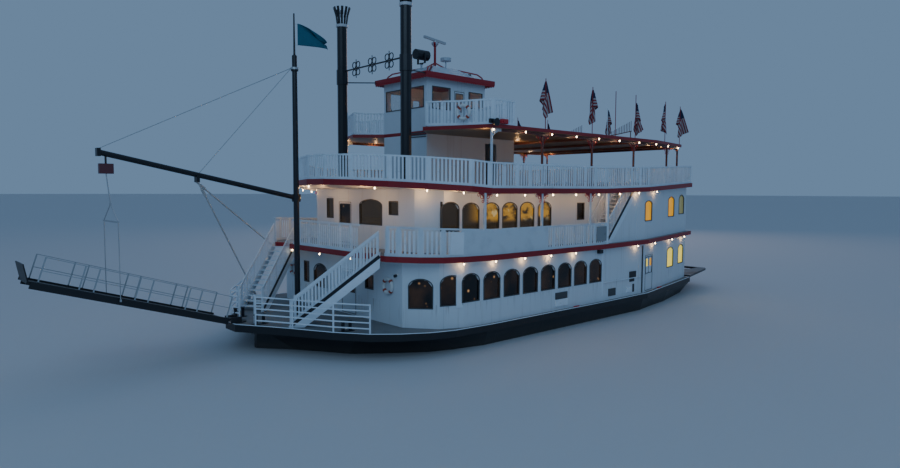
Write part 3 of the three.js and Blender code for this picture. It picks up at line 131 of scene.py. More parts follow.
# %% A wire that can be added and multiplied
def connect(tree, slot, value):
    if isinstance(value, Wire):
        tree.links.new(slot, value.socket)
    else:
        slot.default_value = value


class Wire:
    """A shader socket that takes part in sums."""

    def __init__(self, tree, socket):
        self.tree = tree
        self.socket = socket

    def sum_of(self, operation, *values):
        node = self.tree.nodes.new("ShaderNodeMath")
        node.operation = operation
        for slot, value in zip(node.inputs, values):
            connect(self.tree, slot, value)
        return Wire(self.tree, node.outputs[0])

    def __add__(self, other):
        return self.sum_of("ADD", self, other)

    def __radd__(self, other):
        return self.sum_of("ADD", other, self)

    def __sub__(self, other):
        return self.sum_of("SUBTRACT", self, other)

    def __rsub__(self, other):
        return self.sum_of("SUBTRACT", other, self)

    def __mul__(self, other):
        return self.sum_of("MULTIPLY", self, other)

    def __rmul__(self, other):
        return self.sum_of("MULTIPLY", other, self)

    def __truediv__(self, other):
        return self.sum_of("DIVIDE", self, other)

    def __mod__(self, other):
        return self.sum_of("FLOORED_MODULO", self, other)

    def __abs__(self):
        return self.sum_of("ABSOLUTE", self)

    def __gt__(self, other):
        return self.sum_of("GREATER_THAN", self, other)

    def __lt__(self, other):
        return self.sum_of("LESS_THAN", self, other)

    def most(self, other):
        return self.sum_of("MAXIMUM", self, other)


print("a wire takes part in sums, comparisons, abs and most")

# %% [markdown]
# Every finish starts from the place of a point in the boat's own frame. What isn't plain arithmetic
# comes from one method, `node`, and the few shapes that all finishes share have a method each: a smooth
# step, a cloud of noise, a blend of two colours, and bumps.

# %% What every finish can do
class Finish:
    """A material that is worked out from a point's place on the boat."""

    def __init__(self, name):
        self.material = bpy.data.materials.new(name)
        self.material.use_nodes = True
        self.tree = self.material.node_tree
        self.tree.nodes.clear()
        self.place = self.node("ShaderNodeTexCoord", give="Object")
        self.x, self.y, self.z = (
            self.node("ShaderNodeSeparateXYZ", sockets={"Vector": self.place}, give=axis) for axis in "XYZ"
        )

    def node(self, kind, settings=None, sockets=None, give=0):
        made = self.tree.nodes.new(kind)
        for name, value in (settings or {}).items():
            setattr(made, name, value)
        for name, value in (sockets or {}).items():
            connect(self.tree, made.inputs[name], value)
        return Wire(self.tree, made.outputs[give])

    def step(self, value, low, high):
        """0 under low, 1 over high and smooth between."""
        sockets = {"Value": value, "From Min": low, "From Max": high}
        return self.node("ShaderNodeMapRange", {"interpolation_type": "SMOOTHSTEP"}, sockets)

    def cloud(self, scale, detail=3.0, stretch=(1, 1, 1), shift=(0, 0, 0)):
        """Soft noise from 0 to 1; a small stretch number draws it out along that axis."""
        sockets = {"Vector": self.place, "Scale": stretch, "Location": shift}
        drawn = self.node("ShaderNodeMapping", sockets=sockets)
        return self.node("ShaderNodeTexNoise", sockets={"Vector": drawn, "Scale": scale, "Detail": detail})

    def blend(self, amount, first, second):
        return self.node("ShaderNodeMix", {"data_type": "RGBA"}, {0: amount, 6: first, 7: second}, give=2)

    def bumps(self, height, strength, distance):
        sockets = {"Height": height, "Strength": strength, "Distance": distance}
        return self.node("ShaderNodeBump", sockets=sockets, give="Normal")

    def close(self, sockets):
        shader = self.node("ShaderNodeBsdfPrincipled", sockets=sockets)
        surface = self.tree.nodes.new("ShaderNodeOutputMaterial").inputs["Surface"]
        self.tree.links.new(surface, shader.socket)
        return self.material


print("a finish is made with step, cloud, blend and bumps")

# %% [markdown]
# ## House paint
# The houses are steel plate under white enamel. On the real boat the enamel is thick and even, with a
# seam where two plates meet, and weather draws faint grey runs down the walls, with a trace of brown
# under the main deck's sills. The runs come from noise drawn out upright; the seams from the place along
# the boat, counted in plates.

# %% Mix the white paint
PLATE_LENGTH = 2.44


def colour(red, green, blue):
    return (red, green, blue, 1.0)


def dim(tint, share):
    return tuple(c * share for c in tint[:3]) + (1.0,)


WHITE = colour(0.66, 0.73, 0.79)


def white_paint(name, run_band=None):
    """run_band: heights between which rusty runs show, as under the main-deck windows."""
    finish = Finish(name)
    tint = finish.blend(finish.cloud(0.35, 4), WHITE, colour(0.73, 0.79, 0.84))
    runs = finish.step(finish.cloud(1.0, 5, (4.5, 4.5, 0.22)), 0.56, 0.78) * 0.30
    dirtied = finish.blend(runs, tint, colour(0.46, 0.47, 0.46))
    if run_band:
        low, high = run_band
        under_sill = finish.step(finish.z, low, high) * (1 - finish.step(finish.z, high, high + 0.05))
        rust = finish.step(finish.cloud(1.0, 4, (9, 9, 0.5), (3, 1, 0)), 0.55, 0.72) * under_sill * 0.45
        dirtied = finish.blend(rust, dirtied, colour(0.30, 0.27, 0.25))
    seam = finish.step(abs((finish.x % PLATE_LENGTH) - PLATE_LENGTH / 2), 0.0, 0.012)
    seamed = finish.blend(seam, colour(0.5, 0.55, 0.6), dirtied)
    grain = finish.cloud(60, 2) * 0.15 + seam
    return finish.close({
        "Base Color": seamed,
        "Roughness": 0.42 + finish.cloud(3, 3) * 0.2,
        "Normal": finish.bumps(grain, 0.25, 0.004),
    })


house_paint = white_paint("house_paint")
main_house_paint = white_paint("main_house_paint", (2.15, 2.98))
print("white paints mixed")

# %% [markdown]
# ## Trim, hull and iron
# Red boards edge the upper decks. The stacks, the mast and the gangway are black and only gather soot,
# and the steel parts are bare or worn. One recipe serves all of them, because they differ in colour,
# gloss and how much has rubbed off.

# %% Mix the plain enamels
def enamel(name, base, worn, gloss, wear=0.35, fine=8.0, metal=0.0):
    finish = Finish(name)
    mottled = finish.blend(finish.cloud(1.3, 4), base, dim(base, 1.35))
    rubbed = finish.step(finish.cloud(fine, 6, (0.3, 0.3, 1)), 0.58, 0.75) * wear
    return finish.close({
        "Base Color": finish.blend(rubbed, mottled, worn),
        "Metallic": metal,
        "Roughness": gloss + rubbed * 0.35,
        "Normal": finish.bumps(finish.cloud(45, 3) + rubbed, 0.15, 0.004),
    })


red_trim = enamel("red_trim", colour(0.38, 0.010, 0.022), colour(0.12, 0.03, 0.03), 0.42)
black_iron = enamel("black_iron", colour(0.012, 0.013, 0.018), colour(0.07, 0.07, 0.08), 0.32, 0.25)
gangway_black = enamel("gangway_black", colour(0.014, 0.015, 0.018), colour(0.10, 0.09, 0.08), 0.45, 0.5)
bright_steel = enamel("bright_steel", colour(0.42, 0.44, 0.46), colour(0.2, 0.18, 0.16), 0.35, 0.3, 8, 0.7)
engine_enamel = enamel("engine_enamel", colour(0.10, 0.15, 0.13), colour(0.06, 0.05, 0.04), 0.4)
wheel_enamel = enamel("wheel_enamel", colour(0.27, 0.030, 0.032), colour(0.10, 0.05, 0.04), 0.5, 0.6, 14)
rail_white = enamel("rail_white", WHITE, colour(0.45, 0.45, 0.43), 0.45, 0.35)
print("enamels mixed")

# %% [markdown]
# The hull has a black of its own. It is rubbed grey along the guard, where it ties up, muddy just above
# the waterline, and it has a weld where two of its plates meet.

# %% Mix the hull's black
def hull_black():
    finish = Finish("hull_black")
    mud = (1 - finish.step(finish.z, 1.10, 1.55)) * (0.35 + finish.cloud(2.5, 5) * 0.6)
    rub = finish.step(finish.cloud(2.2, 6, (0.12, 0.12, 1.6)), 0.55, 0.7) * finish.step(finish.z, 1.3, 1.9)
    paint = finish.blend(finish.cloud(0.8, 4), colour(0.010, 0.011, 0.014), colour(0.022, 0.023, 0.028))
    scuffed = finish.blend(rub * 0.45, paint, colour(0.13, 0.12, 0.12))
    muddied = finish.blend(mud, scuffed, colour(0.060, 0.052, 0.045))
    weld = 1 - finish.step(abs((finish.x % 3.05) - 1.5), 0.0, 0.03)
    return finish.close({
        "Base Color": muddied,
        "Roughness": 0.35 + rub * 0.3 + mud * 0.25,
        "Normal": finish.bumps(weld + finish.cloud(1.2, 3) * 2 + finish.cloud(30, 3) * 0.2, 0.35, 0.01),
    })


hull_paint = hull_black()
print("hull paint mixed")

# %% [markdown]
# ## Decks that show three faces
# A deck is one plate, but it shows three finishes: non-slip grey on top, a red board round its edge and
# a painted ceiling below. Which one a point gets depends on where its face points, and the Normal of
# the texture coordinates says that in the boat's own frame.

# %% Mix the deck finishes
CEILING_BOARD = 1.22


def deck_finish(name, walked, edge, ceiling):
    finish = Finish(name)
    facing = finish.node("ShaderNodeTexCoord", give="Normal")
    upward = finish.node("ShaderNodeSeparateXYZ", sockets={"Vector": facing}, give="Z")
    on_top = upward > 0.5
    below = upward < -0.5
    grit = finish.cloud(90, 2)
    worn = finish.step(finish.cloud(0.7, 5), 0.45, 0.75)
    floor_tint = finish.blend(worn, walked, dim(walked, 0.7))
    board = 1 - finish.step(abs((finish.x % CEILING_BOARD) - CEILING_BOARD / 2), 0.0, 0.02)
    ceiling_tint = finish.blend(board * below, ceiling, dim(ceiling, 0.55))
    edge_tint = finish.blend(finish.cloud(3, 4), edge, dim(edge, 0.7))
    sided = finish.blend(below, edge_tint, ceiling_tint)
    return finish.close({
        "Base Color": finish.blend(on_top, sided, floor_tint),
        "Roughness": 0.45 + on_top * 0.3,
        "Normal": finish.bumps(grit * on_top + board * -2, 0.3, 0.003),
    })


# The three colours of each are its walked top, its edge and its ceiling
upper_deck = deck_finish(
    "upper_deck", colour(0.22, 0.23, 0.25), colour(0.36, 0.010, 0.020), colour(0.62, 0.60, 0.56)
)
lower_deck = deck_finish(
    "lower_deck", colour(0.20, 0.21, 0.22), colour(0.014, 0.015, 0.019), colour(0.03, 0.03, 0.03)
)
canopy_roof = deck_finish(
    "canopy_roof", colour(0.40, 0.42, 0.44), colour(0.36, 0.018, 0.024), colour(0.27, 0.19, 0.12)
)
print("deck finishes mixed")

# %% [markdown]
# ## One solid, two paints
# Some solids carry two paints: a white rail with red scrolls at its posts' heads, a red roof with a pale
# crown between its ribs, a black stack with a pale band, a black boom with a red block. A sum that gives
# 1 where the second paint lies is all that differs.

# %% Mix the two-tone finishes
def two_tone(name, first, second, gloss, chosen):
    finish = Finish(name)
    dirt = finish.step(finish.cloud(1.6, 5), 0.45, 0.8) * 0.4
    pick = chosen(finish)
    tint = finish.blend(pick, first, second)
    return finish.close({
        "Base Color": finish.blend(dirt, tint, finish.blend(pick, dim(first, 0.6), dim(second, 0.6))),
        "Roughness": gloss + dirt * 0.3,
        "Normal": finish.bumps(finish.cloud(40, 3), 0.12, 0.004),
    })


BLACK = colour(0.010, 0.011, 0.015)
SIDE_POSTS = (-7.78, -4.2, -0.62)
GANGWAY_SLOPE = math.radians(17.6)
GANGWAY_HEEL = (7.4, 2.39)


def on_scrolls(finish):
    """1 at the head of the second deck's posts, beside the posts themselves."""
    on_post = abs(finish.x - SIDE_POSTS[0]) < 0.047
    for x in SIDE_POSTS[1:]:
        on_post = on_post.most(abs(finish.x - x) < 0.047)
    return (finish.z > 6.7) * (1 - on_post)


def on_crown(finish):
    """1 on the pilothouse crown between its four ribs, 0 on the ribs and the eave."""
    u, v = abs(finish.x + 3.375) / 1.845, abs(finish.y) / 1.59
    return (finish.z > 12.962) * (abs(u - v) > 0.045)


def above_gangway_floor(finish):
    """1 on the gangway's stanchions and rails, 0 on its frame and floor."""
    along, up = finish.x - GANGWAY_HEEL[0], finish.z - GANGWAY_HEEL[1]
    return up * math.cos(GANGWAY_SLOPE) - along * math.sin(GANGWAY_SLOPE) > 0.075


def on_stack_band(finish):
    return (finish.z > 15.39) * (finish.z < 15.53)


def on_boom_block(finish):
    return (finish.z < 8.43) * (finish.x > 11.2) * (finish.x < 12.3)


rail_scrolls = two_tone("rail_scrolls", WHITE, colour(0.36, 0.020, 0.028), 0.45, on_scrolls)
canopy_frame = two_tone("canopy_frame", colour(0.16, 0.055, 0.045), WHITE, 0.45, lambda f: f.x > -2.2)
crown_roof = two_tone("crown_roof", colour(0.36, 0.010, 0.022), colour(0.46, 0.55, 0.62), 0.4, on_crown)
gangway_paint = two_tone(
    "gangway_paint", colour(0.012, 0.013, 0.016), colour(0.36, 0.40, 0.43), 0.45, above_gangway_floor
)
stack_black = two_tone("stack_black", BLACK, colour(0.55, 0.57, 0.6), 0.3, on_stack_band)
boom_black = two_tone("boom_black", BLACK, colour(0.13, 0.035, 0.045), 0.35, on_boom_block)
print("two-tone paints mixed")

# %% [markdown]
# ## Glass and lamps
# Each window is a pane of dark glass. From outside one sees a little of the lamps inside, so the pane
# is partly clear and carries that lamplight as a painted glow: a few warm spots and a faint haze, fixed
# to the boat.

# %% Mix the plain glass
def window_glass(name, clear, glow, tint):
    finish = Finish(name)
    sockets = {"Vector": finish.place, "Scale": 2.6, "Randomness": 1.0}
    spots = finish.node("ShaderNodeTexVoronoi", {"feature": "F1"}, sockets)
    # Painted light: warm lamp spots and a faint haze of the glow colour make the glass itself glow
    lamp = (1 - finish.step(spots, 0.02, 0.22)) * finish.step(finish.cloud(1.1, 2), 0.45, 0.6)
    painted_glow_haze = finish.step(finish.cloud(0.9, 3), 0.4, 0.8)
    inside = finish.blend(painted_glow_haze, colour(0.0, 0.0, 0.0), glow)
    lit = finish.blend(lamp, inside, colour(*(min(1.0, c * 22) for c in glow[:3])))
    return finish.close({
        "Base Color": tint,
        "Roughness": 0.06,
        "Alpha": clear,
        "Emission Color": lit,
        "Emission Strength": 1.0,
    })


main_glass = window_glass("main_glass", 0.93, colour(0.022, 0.012, 0.005), colour(0.006, 0.007, 0.009))
pilot_glass = window_glass("pilot_glass", 0.10, colour(0.01, 0.01, 0.01), colour(0.10, 0.12, 0.13))
print("plain glass mixed")

# %% [markdown]
# The second deck's panes show amber blinds in their upper half, and the panes aft are lit all over. They
# are a glow with a pattern, because what hangs behind the glass is never seen on its own.

# %% Mix the panes that glow
def saloon_pane():
    """Dark low down and forward; painted amber glow of blinds and painted highlights in the upper half aft.
    """
    finish = Finish("saloon_glass")
    # The band where the amber glow of the blinds is painted, upper half and further aft
    glowing_blind_band = finish.step(finish.z, 6.05, 6.35) * (1 - finish.step(finish.x, -2.2, -0.9))
    folds = finish.step(finish.cloud(1.5, 4, (1, 1, 1.6), (2, 0, 0)), 0.40, 0.56)
    # Painted highlight: pale warm glints that glow on the upper band
    painted_highlight = finish.step(finish.cloud(2.2, 3, (1, 1, 1), (0, 0, 5)), 0.62, 0.70) * 0.5
    lit = finish.blend(glowing_blind_band * folds, colour(0.035, 0.024, 0.012), colour(0.70, 0.36, 0.04))
    return finish.close({
        "Base Color": colour(0.020, 0.022, 0.024),
        "Roughness": 0.08,
        "Alpha": 0.90,
        "Emission Color": finish.blend(painted_highlight * glowing_blind_band, lit, colour(1.0, 0.85, 0.45)),
        "Emission Strength": 0.55,
    })


def lit_glass(name, light, strength):
    finish = Finish(name)
    return finish.close({
        "Base Color": colour(0.06, 0.03, 0.0),
        "Roughness": 0.3,
        "Emission Color": finish.blend(finish.cloud(2.4, 3), light, dim(light, 0.65)),
        "Emission Strength": strength,
    })


saloon_glass = saloon_pane()
amber_glass = lit_glass("amber_glass", colour(1.0, 0.46, 0.0), 0.80)
yellow_glass = lit_glass("yellow_glass", colour(1.0, 0.80, 0.10), 1.1)
green_glass = lit_glass("green_glass", colour(0.30, 0.33, 0.16), 0.5)
bulb_glow = lit_glass("bulb_glow", colour(1.0, 0.72, 0.42), 26.0)
print("lit glass mixed")

# %% [markdown]
# ## Flag cloth
# A flag's stripes are sewn into it, so they follow its own map from hoist to fly and not the boat. Cloth
# is matt, and its weave is far too fine to show, so only the fold lines break it up.

# %% Dye the cloth
def striped_cloth():
    finish = Finish("striped_cloth")
    chart = finish.node("ShaderNodeTexCoord", give="UV")
    across = finish.node("ShaderNodeSeparateXYZ", sockets={"Vector": chart}, give="X")
    upward = finish.node("ShaderNodeSeparateXYZ", sockets={"Vector": chart}, give="Y")
    stripe = ((upward * 13) % 2) < 1.0
    canton = (across > 0.6) * (upward > 6 / 13)
    tint = finish.blend(stripe, colour(0.40, 0.37, 0.38), colour(0.22, 0.020, 0.032))
    return finish.close({
        "Base Color": finish.blend(canton, tint, colour(0.015, 0.02, 0.06)),
        "Roughness": 0.85,
    })


def plain_cloth(name, base):
    finish = Finish(name)
    return finish.close({
        "Base Color": finish.blend(finish.cloud(4, 4), base, dim(base, 0.75)),
        "Roughness": 0.9,
        "Normal": finish.bumps(finish.cloud(14, 4), 0.3, 0.01),
    })


flag_stripes = striped_cloth()
teal_cloth = plain_cloth("teal_cloth", colour(0.030, 0.165, 0.240))
print("cloth dyed")

# %% [markdown]
# ## Painting what the solids give
# The solids keep their shapes, so they only need their finishes. A table of name beginnings is shorter
# than a list of all the nodes: the longest beginning that fits a node's name wins, and what fits none
# gets the house paint.

# %% Paint the solids
PAINTED = [
    (hull_paint, "hull stern_guard rudder"),
    (lower_deck, "main_deck"),
    (upper_deck, "second_deck third_deck"),
    (canopy_roof, "roof_deck"),
    (rail_white, "second_deck_front_rail third_deck_rail bow_rail wing_rail"),
    (rail_scrolls, "second_deck_rail"),
    (main_house_paint, "main_cabin"),
    (canopy_frame, "roof_frame"),
    (crown_roof, "pilothouse_roof"),
    (black_iron, "stack_braces mast searchlight wheel_beam"),
    (stack_black, "stack"),
    (boom_black, "boom"),
    (teal_cloth, "mast_flag"),
    (gangway_black, "gangway_turntable gangway_apron"),
    (gangway_paint, "gangway"),
    (wheel_enamel, "paddle_wheel"),
    (engine_enamel, "engine"),
    (bright_steel, "topping_lift hoist_line spreader radar_scanner"),
]
FINISH_OF = {beginning: finish for finish, row in PAINTED for beginning in row.split()} | {"": house_paint}
for name, node in nodes.items():
    finish = FINISH_OF[max((beginning for beginning in FINISH_OF if name.startswith(beginning)), key=len)]
    for slot in node.material_slots:
        slot.material = finish
print("painted", len(nodes), "solids")

# %% [markdown]
# ## Tools for shaping by hand
# Every new piece starts as a primitive at its size and place, is shaped in edit mode, and has its place
# put into its mesh. An operator acts on all that is selected, so everything is let go first.

# %% Tools: take, open up, settle
def let_go():
    bpy.ops.object.select_all(action="DESELECT")


def take(*pieces):
    let_go()
    for piece in pieces:
        piece.select_set(True)
    bpy.context.view_layer.objects.active = pieces[0]


def settle(piece):
    take(piece)
    bpy.ops.object.transform_apply(location=True, rotation=True, scale=True)
    return piece


def open_up(piece):
    """Edit mode with the whole mesh selected."""
    take(piece)
    bpy.ops.object.mode_set(mode="EDIT")
    bpy.ops.mesh.select_all(action="SELECT")


def close_up():
    bpy.ops.object.mode_set(mode="OBJECT")


def cut_off(piece, place, outward):
    """Cut along a plane, close the cut and throw away what lies outward of it."""
    open_up(piece)
    bpy.ops.mesh.bisect(plane_co=place, plane_no=outward, use_fill=True, clear_outer=True)
    close_up()


print("tools to take, open, cut and settle a piece")

# %% [markdown]
# Three shapes make most of a boat's small parts: a block with softened edges, a rod that may taper, and
# a pipe that is bent through points. A beam is a block that is turned to run between two points.

# %% Tools: block, rod, pipe, beam
def block(low, high, edge=0.0):
    let_go()
    middle = [(a + b) / 2 for a, b in zip(low, high)]
    size = [abs(b - a) for a, b in zip(low, high)]
    bpy.ops.mesh.primitive_cube_add(size=1, location=middle, scale=size)
    piece = settle(bpy.context.active_object)
    if edge:
        open_up(piece)
        bpy.ops.mesh.bevel(offset=edge, segments=1)
        close_up()
    return piece


def rod(start, end, radius, sides=10, end_radius=None):
    let_go()
    start, end = Vector(start), Vector(end)
    run = end - start
    bpy.ops.mesh.primitive_cone_add(
        vertices=sides, radius1=radius, radius2=radius if end_radius is None else end_radius,
        depth=run.length, location=(start + end) / 2, rotation=run.to_track_quat("Z", "Y").to_euler(),
    )
    return settle(bpy.context.active_object)


def pipe(points, radius, sides=8, closed=False):
    """A round bar bent through points, drawn as a curve and made a mesh."""
    let_go()
    bpy.ops.curve.primitive_bezier_curve_add()
    drawn = bpy.context.active_object
    drawn.data.splines.clear()
    line = drawn.data.splines.new("POLY")
    line.points.add(len(points) - 1)
    for point, place in zip(line.points, points):
        point.co = (*place, 1)
    line.use_cyclic_u = closed
    drawn.data.bevel_depth = radius
    drawn.data.bevel_resolution = max(0, sides // 4 - 1)
    drawn.data.use_fill_caps = True
    take(drawn)
    bpy.ops.object.convert(target="MESH")
    return settle(bpy.context.active_object)


def beam(start, end, width, height):
    """A straight bar of rectangular section; its height is measured in the upright plane."""
    start, end = Vector(start), Vector(end)
    run = end - start
    piece = block((-run.length / 2, -width / 2, -height / 2), (run.length / 2, width / 2, height / 2))
    along = run.normalized()
    sideways = Vector((-along.y, along.x, 0)).normalized()
    turn = Matrix((along, sideways, along.cross(sideways))).transposed().to_4x4()
    piece.data.transform(Matrix.Translation((start + end) / 2) @ turn)
    return piece


print("tools for blocks, rods, pipes and beams")

# %% [markdown]
# What repeats is shaped once, then copied with a mesh of its own and joined. The boat is the same on
# both sides, so most pieces are made to port and mirrored. Each finished piece gets its name, its paint
# and the body that carries it.

# %% Tools: join, copy, mirror, fit
def join(pieces):
    take(*pieces)
    if len(pieces) > 1:
        bpy.ops.object.join()
    return bpy.context.view_layer.objects.active


def copies(master, places):
    made = []
    for place in places:
        twin = master.copy()
        twin.data = master.data.copy()
        twin.data.transform(place)
        if place.determinant() < 0:
            twin.data.flip_normals()
        bpy.context.scene.collection.objects.link(twin)
        made.append(twin)
    bpy.data.objects.remove(master)
    return join(made)


def mirror_pair(piece):
    """The port piece and its mirror image in one mesh."""
    return copies(piece, [Matrix.Identity(4), Matrix.Scale(-1, 4, (0, 1, 0))])


def fit(piece, name, finish, body="boat"):
    piece.name = name
    piece.data.name = name
    piece.data.materials.clear()
    piece.data.materials.append(finish)
    if body:
        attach(piece, body)
    print(name, "-", len(piece.data.polygons), "faces")
    return piece


def fit_pair(pieces, name, finish):
    """Join the port pieces with their mirror images and fit them to the boat."""
    return fit(mirror_pair(join(pieces)), name, finish)


print("tools to join, copy, mirror and fit")

# %% [markdown]
# ## The lines of the boat
# Pickets, lamps and frames follow the decks' edges and the cabins' walls. The decks rise a little towards
# bow and stern, as the solids do, so a height is looked up at its place along the boat.

# %% How much a deck rises
MAIN_DECK, SECOND_DECK, THIRD_DECK, ROOF_DECK = 2.00, 4.88, 7.62, 10.30
DECK_DEPTH = 0.23
# Columns: x, rise of the main deck, of the second deck and of the third deck
RISE = [
    (-25.0, 0.10, 0.13, 0.39), (-20.3, 0.10, 0.13, 0.39), (-13.0, 0.03, 0.05, 0.10), (-9.0, 0, 0, 0),
    (-1.0, 0, 0, 0), (1.5, 0.05, 0.05, 0.21), (3.5, 0.12, 0.10, 0.38), (6.6, 0.22, 0.30, 0.60),
    (8.0, 0.22, 0.30, 0.60),
]
LEVELS = [0, MAIN_DECK, SECOND_DECK, THIRD_DECK]


def rise(x, z):
    if z > THIRD_DECK + 2.0:
        return 0.0
    after = next(row for row in RISE[1:] if row[0] >= x)
    before = RISE[RISE.index(after) - 1]
    share = (x - before[0]) / (after[0] - before[0])
    lifts = [0.0] + [a + (b - a) * share for a, b in zip(before[1:], after[1:])]
    if z >= THIRD_DECK:
        return lifts[3]
    i = next(k for k in range(3) if z < LEVELS[k + 1])
    part = (z - LEVELS[i]) / (LEVELS[i + 1] - LEVELS[i])
    return lifts[i] + (lifts[i + 1] - lifts[i]) * part


print("deck 3 rises", round(rise(3.5, THIRD_DECK), 3), "at its front")

# %% [markdown]
# The plan lines are the same as the solids have, in metres. Only their port halves are written down. A
# piece that stands on such a line needs its place and the way the line runs there, which `wall_at` finds
# and `stand` turns into a frame.

# %% The plan lines
# Port halves of the outlines, from aft forward: x, y
MAIN_EDGE = [
    (-20.3, 5.0), (-13.0, 6.39), (1.0, 6.39), (2.2, 6.18), (3.3, 5.75), (4.25, 5.13), (5.18, 4.03),
    (6.08, 2.54), (6.95, 1.2), (7.4, 0.45),
]
SECOND_EDGE = [
    (-20.55, 4.85), (-13.0, 6.39), (0.6, 6.39), (1.5, 6.2), (2.3, 5.75), (2.9, 5.1), (3.15, 4.65),
]
THIRD_EDGE = [
    (-20.55, 4.85), (-13.0, 6.39), (-0.9, 6.39), (0.0, 6.2), (1.3, 5.0), (2.3, 3.7), (3.1, 2.1), (3.5, 0.7),
]
MAIN_CABIN = [(-20.2, 4.65), (-13.0, 6.14), (0.4, 6.14), (1.4, 5.8), (2.4, 4.72)]
SECOND_CABIN = [(-20.2, 4.65), (-13.0, 6.14), (-12.1, 6.14), (-12.1, 4.9), (0.35, 4.9), (1.1, 3.9)]


def whole(half):
    return half + [(x, -y) for x, y in reversed(half)]


def inset(outline, distance):
    """The outline moved inwards; it runs clockwise seen from above."""
    edges = []
    for (x, y), (nx, ny) in zip(outline, outline[1:] + outline[:1]):
        dx, dy = nx - x, ny - y
        length = math.hypot(dx, dy)
        edges.append((x + dy / length * distance, y - dx / length * distance, dx, dy))
    moved = []
    for i in range(len(edges)):
        (ax, ay, adx, ady), (bx, by, bdx, bdy) = edges[i - 1], edges[i]
        across = adx * bdy - ady * bdx
        s = ((bx - ax) * bdy - (by - ay) * bdx) / across
        moved.append((ax + adx * s, ay + ady * s))
    return moved


def wall_at(outline, x):
    """Where a port outline stands at x, and which way it runs there."""
    for a, b in zip(outline, outline[1:]):
        if a[0] <= x <= b[0] and b[0] > a[0]:
            t = (x - a[0]) / (b[0] - a[0])
            length = math.hypot(b[0] - a[0], b[1] - a[1])
            return a[1] + (b[1] - a[1]) * t, (b[0] - a[0]) / length, (b[1] - a[1]) / length
    raise ValueError(x)


def stand(x, y, z, dx, dy):
    """A frame whose X axis runs along dx, dy, whose Y axis points to its left and whose Z axis is up."""
    return Matrix(((dx, -dy, 0, x), (dy, dx, 0, y), (0, 0, 1, z), (0, 0, 0, 1)))


print("plan lines:", len(whole(MAIN_EDGE)), "corners round the main deck")

# %% [markdown]
# ## Picket rails
# Flat white pickets fill every rail, a hand's width apart. The solids carry the toe board, the top rail
# and a few of the pickets, so one picket is shaped here and copied along the middle of that rail.

# %% Fill the deck rails with pickets
PICKET_PITCH = 0.165
PICKET_LOW, PICKET_HIGH = (-0.042, -0.012, 0.105), (0.042, 0.012, 1.005)
RAIL_LINE = 0.085


def spaced(path, pitch):
    """Points along a path at an even pitch on each straight run, with the run's direction."""
    for (ax, ay), (bx, by) in zip(path, path[1:]):
        length = math.hypot(bx - ax, by - ay)
        count = max(1, round(length / pitch))
        dx, dy = (bx - ax) / length, (by - ay) / length
        for k in range(count):
            s = (k + 0.5) * length / count
            yield ax + dx * s, ay + dy * s, dx, dy


def pickets(path, level, keep):
    master = block(PICKET_LOW, PICKET_HIGH, 0.004)
    return copies(master, [
        stand(x, y, level + rise(x, level), dx, dy)
        for x, y, dx, dy in spaced(path, PICKET_PITCH) if keep(x, y)
    ])


def on_second_rail(x, y):
    """The second deck's rail has a gap at each stair, and the banner board stands in its port side."""
    at_front = abs(y) < 2.72 and x > 2.9
    along_side = abs(y) > 4.5 and x > -9.3
    on_banner = y > 0 and -4.6 < x < 0.9
    return at_front or (along_side and not on_banner)


second_line = inset(whole(SECOND_EDGE), RAIL_LINE)
third_line = inset(whole(THIRD_EDGE), RAIL_LINE)
WING_EDGE = [(-4.15, 1.45), (-3.0, 5.86), (-1.58, 5.86), (-0.33, 2.79), (-1.65, 1.53)]
wing_line = inset(WING_EDGE, RAIL_LINE)
third_pickets = pickets(third_line + third_line[:1], THIRD_DECK, lambda x, y: True)
fit(third_pickets, "third_deck_pickets", rail_white)
second_pickets = pickets(second_line, SECOND_DECK, on_second_rail)
fit(second_pickets, "second_deck_pickets", rail_white)
wing_pickets = pickets(wing_line, ROOF_DECK, lambda x, y: y > 1.72)
fit_pair([wing_pickets], "wing_pickets", rail_white)

# %% [markdown]
# ## Stair rails
# The flights have the same pickets, closer together, and they stay upright while the rail slopes. So
# each one is copied to its own height on the slope.

# %% Pickets on the four flights
# Columns: head x, y, deck above; foot x, y, deck below; width
FLIGHTS = {
    "forward": ((3.22, 4.39, SECOND_DECK), (6.06, 2.29, MAIN_DECK), 1.15),
    "aft": ((-11.95, 6.13, THIRD_DECK), (-9.4, 6.13, SECOND_DECK), 1.13),
}
STAIR_PICKET_PITCH = 0.13


def flight_frame(head, foot):
    run = Vector((foot[0] - head[0], foot[1] - head[1]))
    length = run.length
    dx, dy = run / length
    low = foot[2] + rise(foot[0], foot[2])
    high = head[2] + rise(head[0], head[2])
    return length, dx, dy, low, high


def flight_pickets(head, foot, width):
    length, dx, dy, low, high = flight_frame(head, foot)
    slope = (high - low) / length
    master = block((-0.022, -0.012, 0.11), (0.022, 0.012, 0.86), 0.003)
    places = []
    count = round(length / STAIR_PICKET_PITCH)
    for across in (0.025, width - 0.025):
        for k in range(1, count):
            s = k * length / count
            x, y = head[0] + dx * s + dy * across, head[1] + dy * s - dx * across
            places.append(stand(x, y, high - slope * s, dx, dy))
    return copies(master, places)


for name, flight in FLIGHTS.items():
    fit_pair([flight_pickets(*flight)], f"{name}_stair_pickets", rail_white)

# %% [markdown]
# ## Window frames and panes
# Each opening has a thin dark frame with an arched head. One frame is shaped from a circle: its lower
# half is pulled down to the sill, the face is inset, the middle removed and the rim given depth. The
# pane is a sheet inside the wall's thickness, a little larger than the hole, as glass in a rebate is.

# %% Shape an arched frame
RIM, RIM_DEPTH = 0.045, 0.05
LAP = 0.6
ARCH_STEPS = 16


